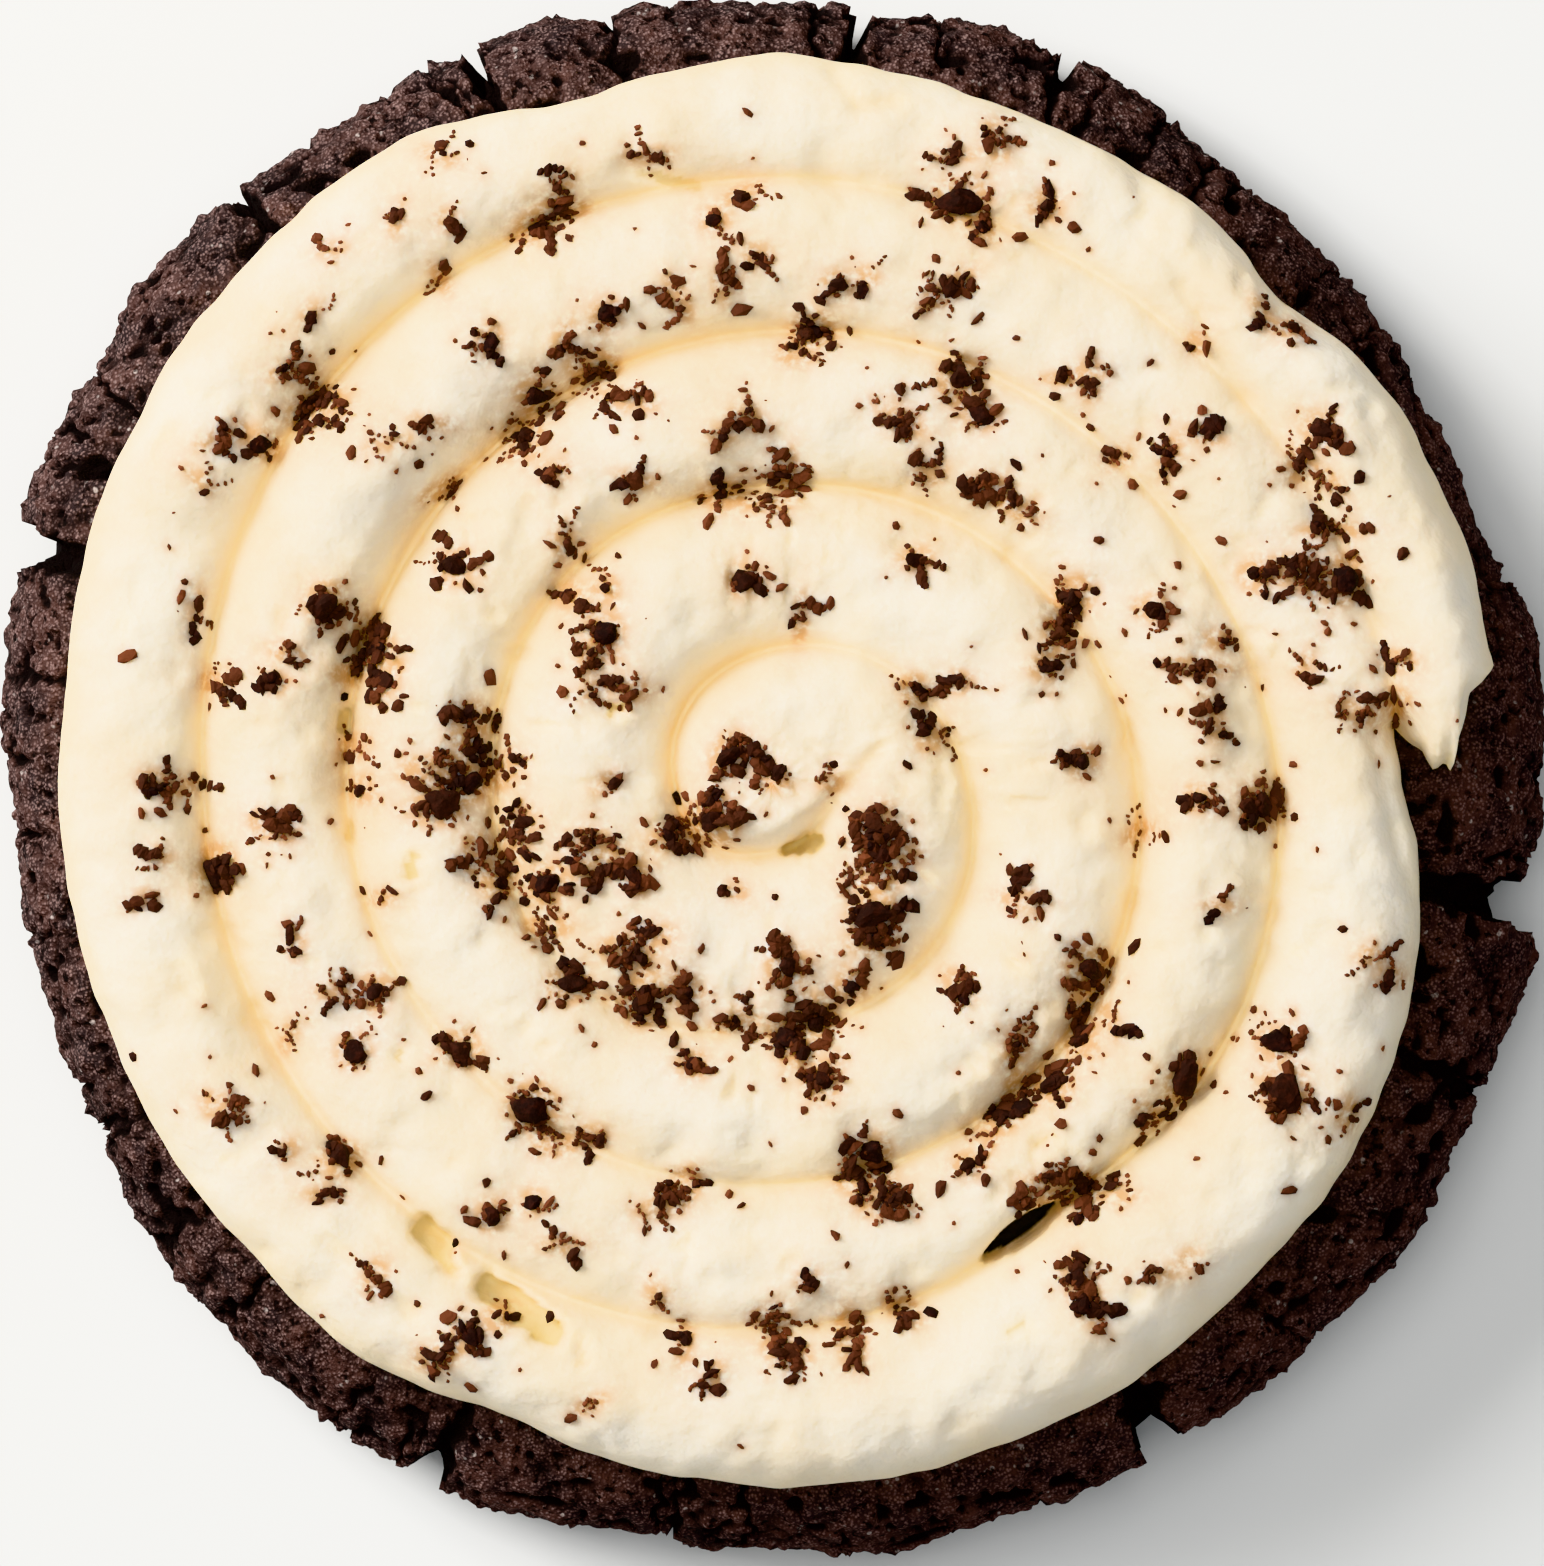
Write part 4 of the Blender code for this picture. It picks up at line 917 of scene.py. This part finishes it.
def broken(level, count, cuts, roughness):
    """Balls cut by flat planes at random distances, so each point lies on the nearest plane before it."""
    points, triangles = stone(level)
    facing = draw.normal(size=(count, cuts, 3))
    facing /= np.linalg.norm(facing, axis=-1, keepdims=True)
    reach = draw.uniform(0.62, 1.0, (count, cuts))
    toward = np.einsum("vk,nck->nvc", points, facing)
    radius = np.min(reach[:, None] / np.maximum(toward, 0.45), axis=-1)
    radius = np.minimum(radius, 1.25) * (1 + roughness * draw.uniform(-1, 1, radius.shape))
    return points[None] * radius[..., None], triangles


def crumb_piece(name, place, axes, size, shapes, triangles, tone, material):
    """Every crumb's ball, scaled to its size, turned to its axes and moved to its place, as one mesh.

    The smaller a crumb, the redder it is.
    """
    points = place[:, None] + np.einsum("nvk,nkc->nvc", shapes * size[:, None] / 2, axes)
    start = np.arange(len(place))[:, None, None] * shapes.shape[1]
    faces = (triangles[None] + start).reshape(-1, 3)
    none = np.zeros((0, 4), int)
    piece = mesh_piece(name, points.reshape(-1, 3), none, faces, [], material)
    piece.data.shade_flat()
    tone = np.clip(tone + 0.55 * (1 - smoothstep(0.3, 0.6, size.mean(axis=1))), 0, 1)
    point_values(piece, "tone", np.repeat(tone, shapes.shape[1]))
    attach(piece, "root")
    return piece


def crushed_cookie():
    """Dry crushed cookie: nearly black in the large chips, redder in small grains, dull and grainy."""
    made, tree, shader = new_material("crushed_cookie", Roughness=0.85, Specular_IOR_Level=0.12)
    place = add_node(tree, "TexCoord").outputs["Object"]
    tone = add_node(tree, "Attribute", attribute_name="tone").outputs["Fac"]
    patchy = ramp(tree, noise(tree, place, 1400, 3.0, 0.6), 0.42, 0.75)
    colour = mixed(tree, patchy, CRUMB_DARK, CRUMB_BROWN)
    colour = mixed(tree, tone, colour, CRUMB_RED)
    tree.links.new(colour, shader.inputs["Base Color"])
    height = noise(tree, place, 3200, 3.0, 0.6)
    bump = add_node(tree, "Bump", (("Strength", 0.8), ("Distance", 0.15 * MM), ("Height", height)))
    tree.links.new(bump.outputs["Normal"], shader.inputs["Normal"])
    return made


def held_together(length, width):
    """True for a chip that is wide enough, and not too slim, to have stayed in one piece."""
    return (width >= SOLID_CHIP[0]) & (width >= SOLID_CHIP[1] * length)


def lay_chips(material):
    """Chips that held together: one angular flattened piece each, sunk in the cream."""
    x, y, length, width, turn = np.array(CHIPS, float).T
    whole = held_together(length, width)
    x, y, length, width, turn = x[whole], y[whole], length[whole], width[whole], turn[whole]
    landed, place, normal = seat(x, y)
    place, normal = place[landed], normal[landed]
    length, width, turn = length[landed], width[landed], turn[landed]
    thick = np.minimum(0.6 * width, 1.4) * draw.uniform(0.8, 1.1, len(width))
    share = draw.uniform(0.5, 0.9, len(width))
    size = np.stack([share * length, share * width, thick], axis=-1)
    place = place + normal * (thick * (0.5 - CHIP_SUNK))[:, None]
    shapes, triangles = broken(3, len(place), 11, 0.03)
    own_place = 7.0 * np.arange(len(place))[:, None, None]
    shapes = shapes * (1 + 0.10 * lumps(shapes + own_place, 0.35, 61)[..., None])
    tone = draw.uniform(0, 0.08, len(place))
    crumb_piece("crumb_chips", place, axes_on(normal, turn), size, shapes, triangles, tone, material)


def grain_strings(x, y, length, width, turn):
    """Strings of touching grains: each starts within a chip's outline and wanders with small bends.

    It gives the grains' places and each grain's string, then for each string its chip and how far out it
    starts. A chip that held together has fewer strings round it.
    """
    strings = STRINGS_A_SQUARE * np.where(held_together(length, width), 0.6, 1.0)
    count = np.maximum(np.round(strings * OVAL_AREA * length * width), 2).astype(int)
    owner = np.repeat(np.arange(len(x)), count)
    way = draw.uniform(0, 2 * np.pi, len(owner))
    reach = draw.uniform(0, 1, len(owner)) ** 0.6 * draw.uniform(0.7, 1.35, len(owner))
    u, v = 0.5 * reach * np.cos(way) * length[owner], 0.5 * reach * np.sin(way) * width[owner]
    lean = np.radians(turn[owner])
    u, v = u * np.cos(lean) - v * np.sin(lean), u * np.sin(lean) + v * np.cos(lean)
    grains_in = draw.integers(*STRING_LENGTH, len(owner), endpoint=True)
    bends = draw.normal(0, 0.6, (len(owner), STRING_LENGTH[1]))
    heading = draw.uniform(0, 2 * np.pi, (len(owner), 1)) + np.cumsum(bends, axis=1)
    stride = STRING_STEP * draw.uniform(0.6, 1.5, heading.shape)
    u = x[owner, None] + u[:, None] + np.cumsum(stride * np.cos(heading), axis=1)
    v = y[owner, None] + v[:, None] + np.cumsum(stride * np.sin(heading), axis=1)
    kept = np.arange(STRING_LENGTH[1]) < grains_in[:, None]
    string = np.broadcast_to(np.arange(len(owner))[:, None], kept.shape)[kept]
    return u[kept], v[kept], string, owner, reach


def lay_clumps(material):
    """Crumbled chips: strings of grains, heaped higher towards the middle of each chip's outline."""
    x, y, length, width, turn = np.array(CHIPS, float).T
    u, v, string, owner, reach = grain_strings(x, y, length, width, turn)
    strings = len(owner)
    landed, place, normal = seat(u, v)
    place, normal, string = place[landed], normal[landed], string[landed]
    owner, reach = owner[string], reach[string]
    number = len(string)
    string_size = 0.48 * np.exp(0.42 * draw.normal(size=strings))[string]
    size = np.clip(string_size * np.exp(0.2 * draw.normal(size=number)), 0.32, 1.0)
    size = size[:, None] * draw.uniform((0.9, 0.65, 0.6), (1.6, 1.1, 1.0), (number, 3))
    heap = 0.45 * np.clip(1 - reach, 0, 1) * np.minimum(width[owner], 2.4) * draw.uniform(0, 1, number)
    place = place + normal * (0.15 * size[:, 2] + 0.5 * heap)[:, None]
    shapes, triangles = broken(1, number, 7, 0.10)
    string_tone = draw.uniform(0, 1, strings)[string] ** 2
    tone = (0.75 * string_tone + 0.2 * draw.uniform(0, 1, number)) * (0.35 + 0.5 * np.clip(reach, 0, 1))
    axes = axes_on(normal, draw.uniform(0, 360, number))
    crumb_piece("crumb_grains", place, axes, size, shapes, triangles, tone, material)
    return place, size.mean(axis=1)


def near_chips(count, spread):
    """Random places round the chips, fewer further away."""
    x, y, length, width, _ = np.array(CHIPS, float).T
    owner = draw.choice(len(x), count, p=length * width / np.sum(length * width))
    way = draw.uniform(0, 2 * np.pi, count)
    reach = 0.5 * length[owner] * draw.uniform(0.7, 1.1, count) + draw.exponential(spread, count)
    return x[owner] + reach * np.cos(way), y[owner] + reach * np.sin(way)


def anywhere(count):
    """Random places, even over a disc."""
    way = draw.uniform(0, 2 * np.pi, count)
    reach = SPRINKLED_OUT_TO * np.sqrt(draw.uniform(0, 1, count))
    return reach * np.cos(way), reach * np.sin(way)


def lay_loose(name, count, sizes, spread, near_share, tones, material):
    """Loose grains, most of them near chips, of sizes spread evenly by ratio between two."""
    near_count = int(near_share * count)
    near, far = near_chips(near_count, spread), anywhere(count - near_count)
    x, y = np.concatenate([near[0], far[0]]), np.concatenate([near[1], far[1]])
    landed, place, normal = seat(x, y)
    place, normal = place[landed], normal[landed]
    number = len(place)
    low, high = np.log(sizes[0]), np.log(sizes[1])
    size = np.exp(low + (high - low) * draw.uniform(0, 1, (number, 1)) ** 1.6)
    size = size * draw.uniform((0.8, 0.6, 0.5), (1.8, 1.2, 0.9), (number, 3))
    place = place + normal * 0.2 * size[:, 2:]
    shapes, triangles = broken(1, number, 6, 0.12)
    tone = draw.uniform(*tones, number)
    axes = axes_on(normal, draw.uniform(0, 360, number))
    crumb_piece(name, place, axes, size, shapes, triangles, tone, material)
    return place, size.mean(axis=1)


def stain_and_shade_cream(loose, loose_size):
    """Brown in the cream, partly cocoa stain and partly painted shade: a close ring round each chip and a
    faint wide one, and a small ring by grains.
    """
    points = np.empty(len(cream.data.vertices) * 3)
    cream.data.vertices.foreach_get("co", points)
    x, y, z = points.reshape(-1, 3).T / MM
    untouched = np.ones(len(x))
    for row in CHIPS:
        near = np.flatnonzero(np.maximum(np.abs(x - row[0]), np.abs(y - row[1])) < CHIP_STAIN_AND_SHADE_ENDS)
        along, over = turned(x[near], y[near], row)
        ring = np.hypot(2 * along / row[2], 2 * over / row[3])
        away = np.maximum(ring - 1, 0) * 0.5 * np.sqrt(row[2] * row[3])
        close = CHIP_STAIN_AND_SHADE[0] * np.exp(-((away / CHIP_STAIN_AND_SHADE[1]) ** 2))
        wide = WIDE_STAIN_AND_SHADE[0] * np.exp(-((away / WIDE_STAIN_AND_SHADE[1]) ** 2))
        untouched[near] *= 1 - on_top(z[near]) * (1 - (1 - close) * (1 - wide))
    for (a, b, c), size in zip(loose, loose_size):
        near = np.flatnonzero(np.maximum(np.abs(x - a), np.abs(y - b)) < GRAIN_STAIN_AND_SHADE_ENDS)
        away = np.sqrt((x[near] - a) ** 2 + (y[near] - b) ** 2 + (z[near] - c) ** 2)
        strength = GRAIN_STAIN_AND_SHADE[0] * np.clip(size / 0.4, 0.2, 1)
        untouched[near] *= 1 - strength * np.exp(-((away / GRAIN_STAIN_AND_SHADE[1]) ** 2))
    point_values(cream, "stain", 1 - untouched)


crumb_looks = crushed_cookie()
lay_chips(crumb_looks)
lay_clumps(crumb_looks)
loose_places, loose_sizes = lay_loose("crumb_loose", *LOOSE_GRAINS, crumb_looks)
lay_loose("crumb_dust", *DUST, crumb_looks)
stain_and_shade_cream(loose_places, loose_sizes)


# ----------------------------------------------------------------------------------------------------
# The table, the light and the camera
#
# A plain pale table, a soft lamp at the upper left, a wide one overhead and a weak cool one opposite,
# and a camera straight above. The table and the lamps are in metres and watts.

PHOTO_SIZE = (1544, 1566)  # pixels
PIXEL = 0.07138  # millimetres at the cookie's widest place
CAMERA_HEIGHT = 600.0
SENSOR = 36.0
TABLE_REACH = 3  # from the middle to each side

floor_mesh = bpy.data.meshes.new("table")
corners = [(TABLE_REACH * x, TABLE_REACH * y, 0) for x, y in ((-1, -1), (1, -1), (1, 1), (-1, 1))]
floor_mesh.from_pydata(corners, [], [(0, 1, 2, 3)])
floor_look, _, floor_shader = new_material("table_top", Roughness=0.6)
floor_shader.inputs["Base Color"].default_value = (0.80, 0.80, 0.79, 1)
floor_mesh.materials.append(floor_look)
floor = bpy.data.objects.new("table", floor_mesh)
bpy.context.scene.collection.objects.link(floor)


def lamp(name, place, size, power, colour):
    """A square lamp that faces the middle of the table."""
    data = bpy.data.lights.new(name, "AREA")
    data.size, data.energy, data.color = size, power, colour
    made = bpy.data.objects.new(name, data)
    bpy.context.scene.collection.objects.link(made)
    made.location = place
    made.rotation_euler = (-Vector(place)).to_track_quat("-Z", "Y").to_euler()


lamp("key", (-0.52, 0.32, 0.40), 0.42, 9.3, (1.0, 0.985, 0.96))
lamp("overhead", (-0.10, 0.10, 0.95), 0.90, 6.1, (1.0, 0.99, 0.975))
lamp("fill", (0.50, -0.45, 0.50), 0.70, 0.7, (0.84, 0.93, 1.0))

world = bpy.data.worlds.new("studio")
world.use_nodes = True
world.node_tree.nodes["Background"].inputs["Color"].default_value = (0.88, 0.95, 1.0, 1)
world.node_tree.nodes["Background"].inputs["Strength"].default_value = 0.12
bpy.context.scene.world = world
bpy.context.scene.view_settings.view_transform = "Khronos PBR Neutral"

eye = bpy.data.cameras.new("eye")
eye.sensor_width = SENSOR
eye.lens = SENSOR * (CAMERA_HEIGHT - COOKIE_WIDEST_AT) / PIXEL / max(PHOTO_SIZE)
camera = bpy.data.objects.new("eye", eye)
bpy.context.scene.collection.objects.link(camera)
camera.location = (0, 0, CAMERA_HEIGHT * MM)
bpy.context.scene.camera = camera
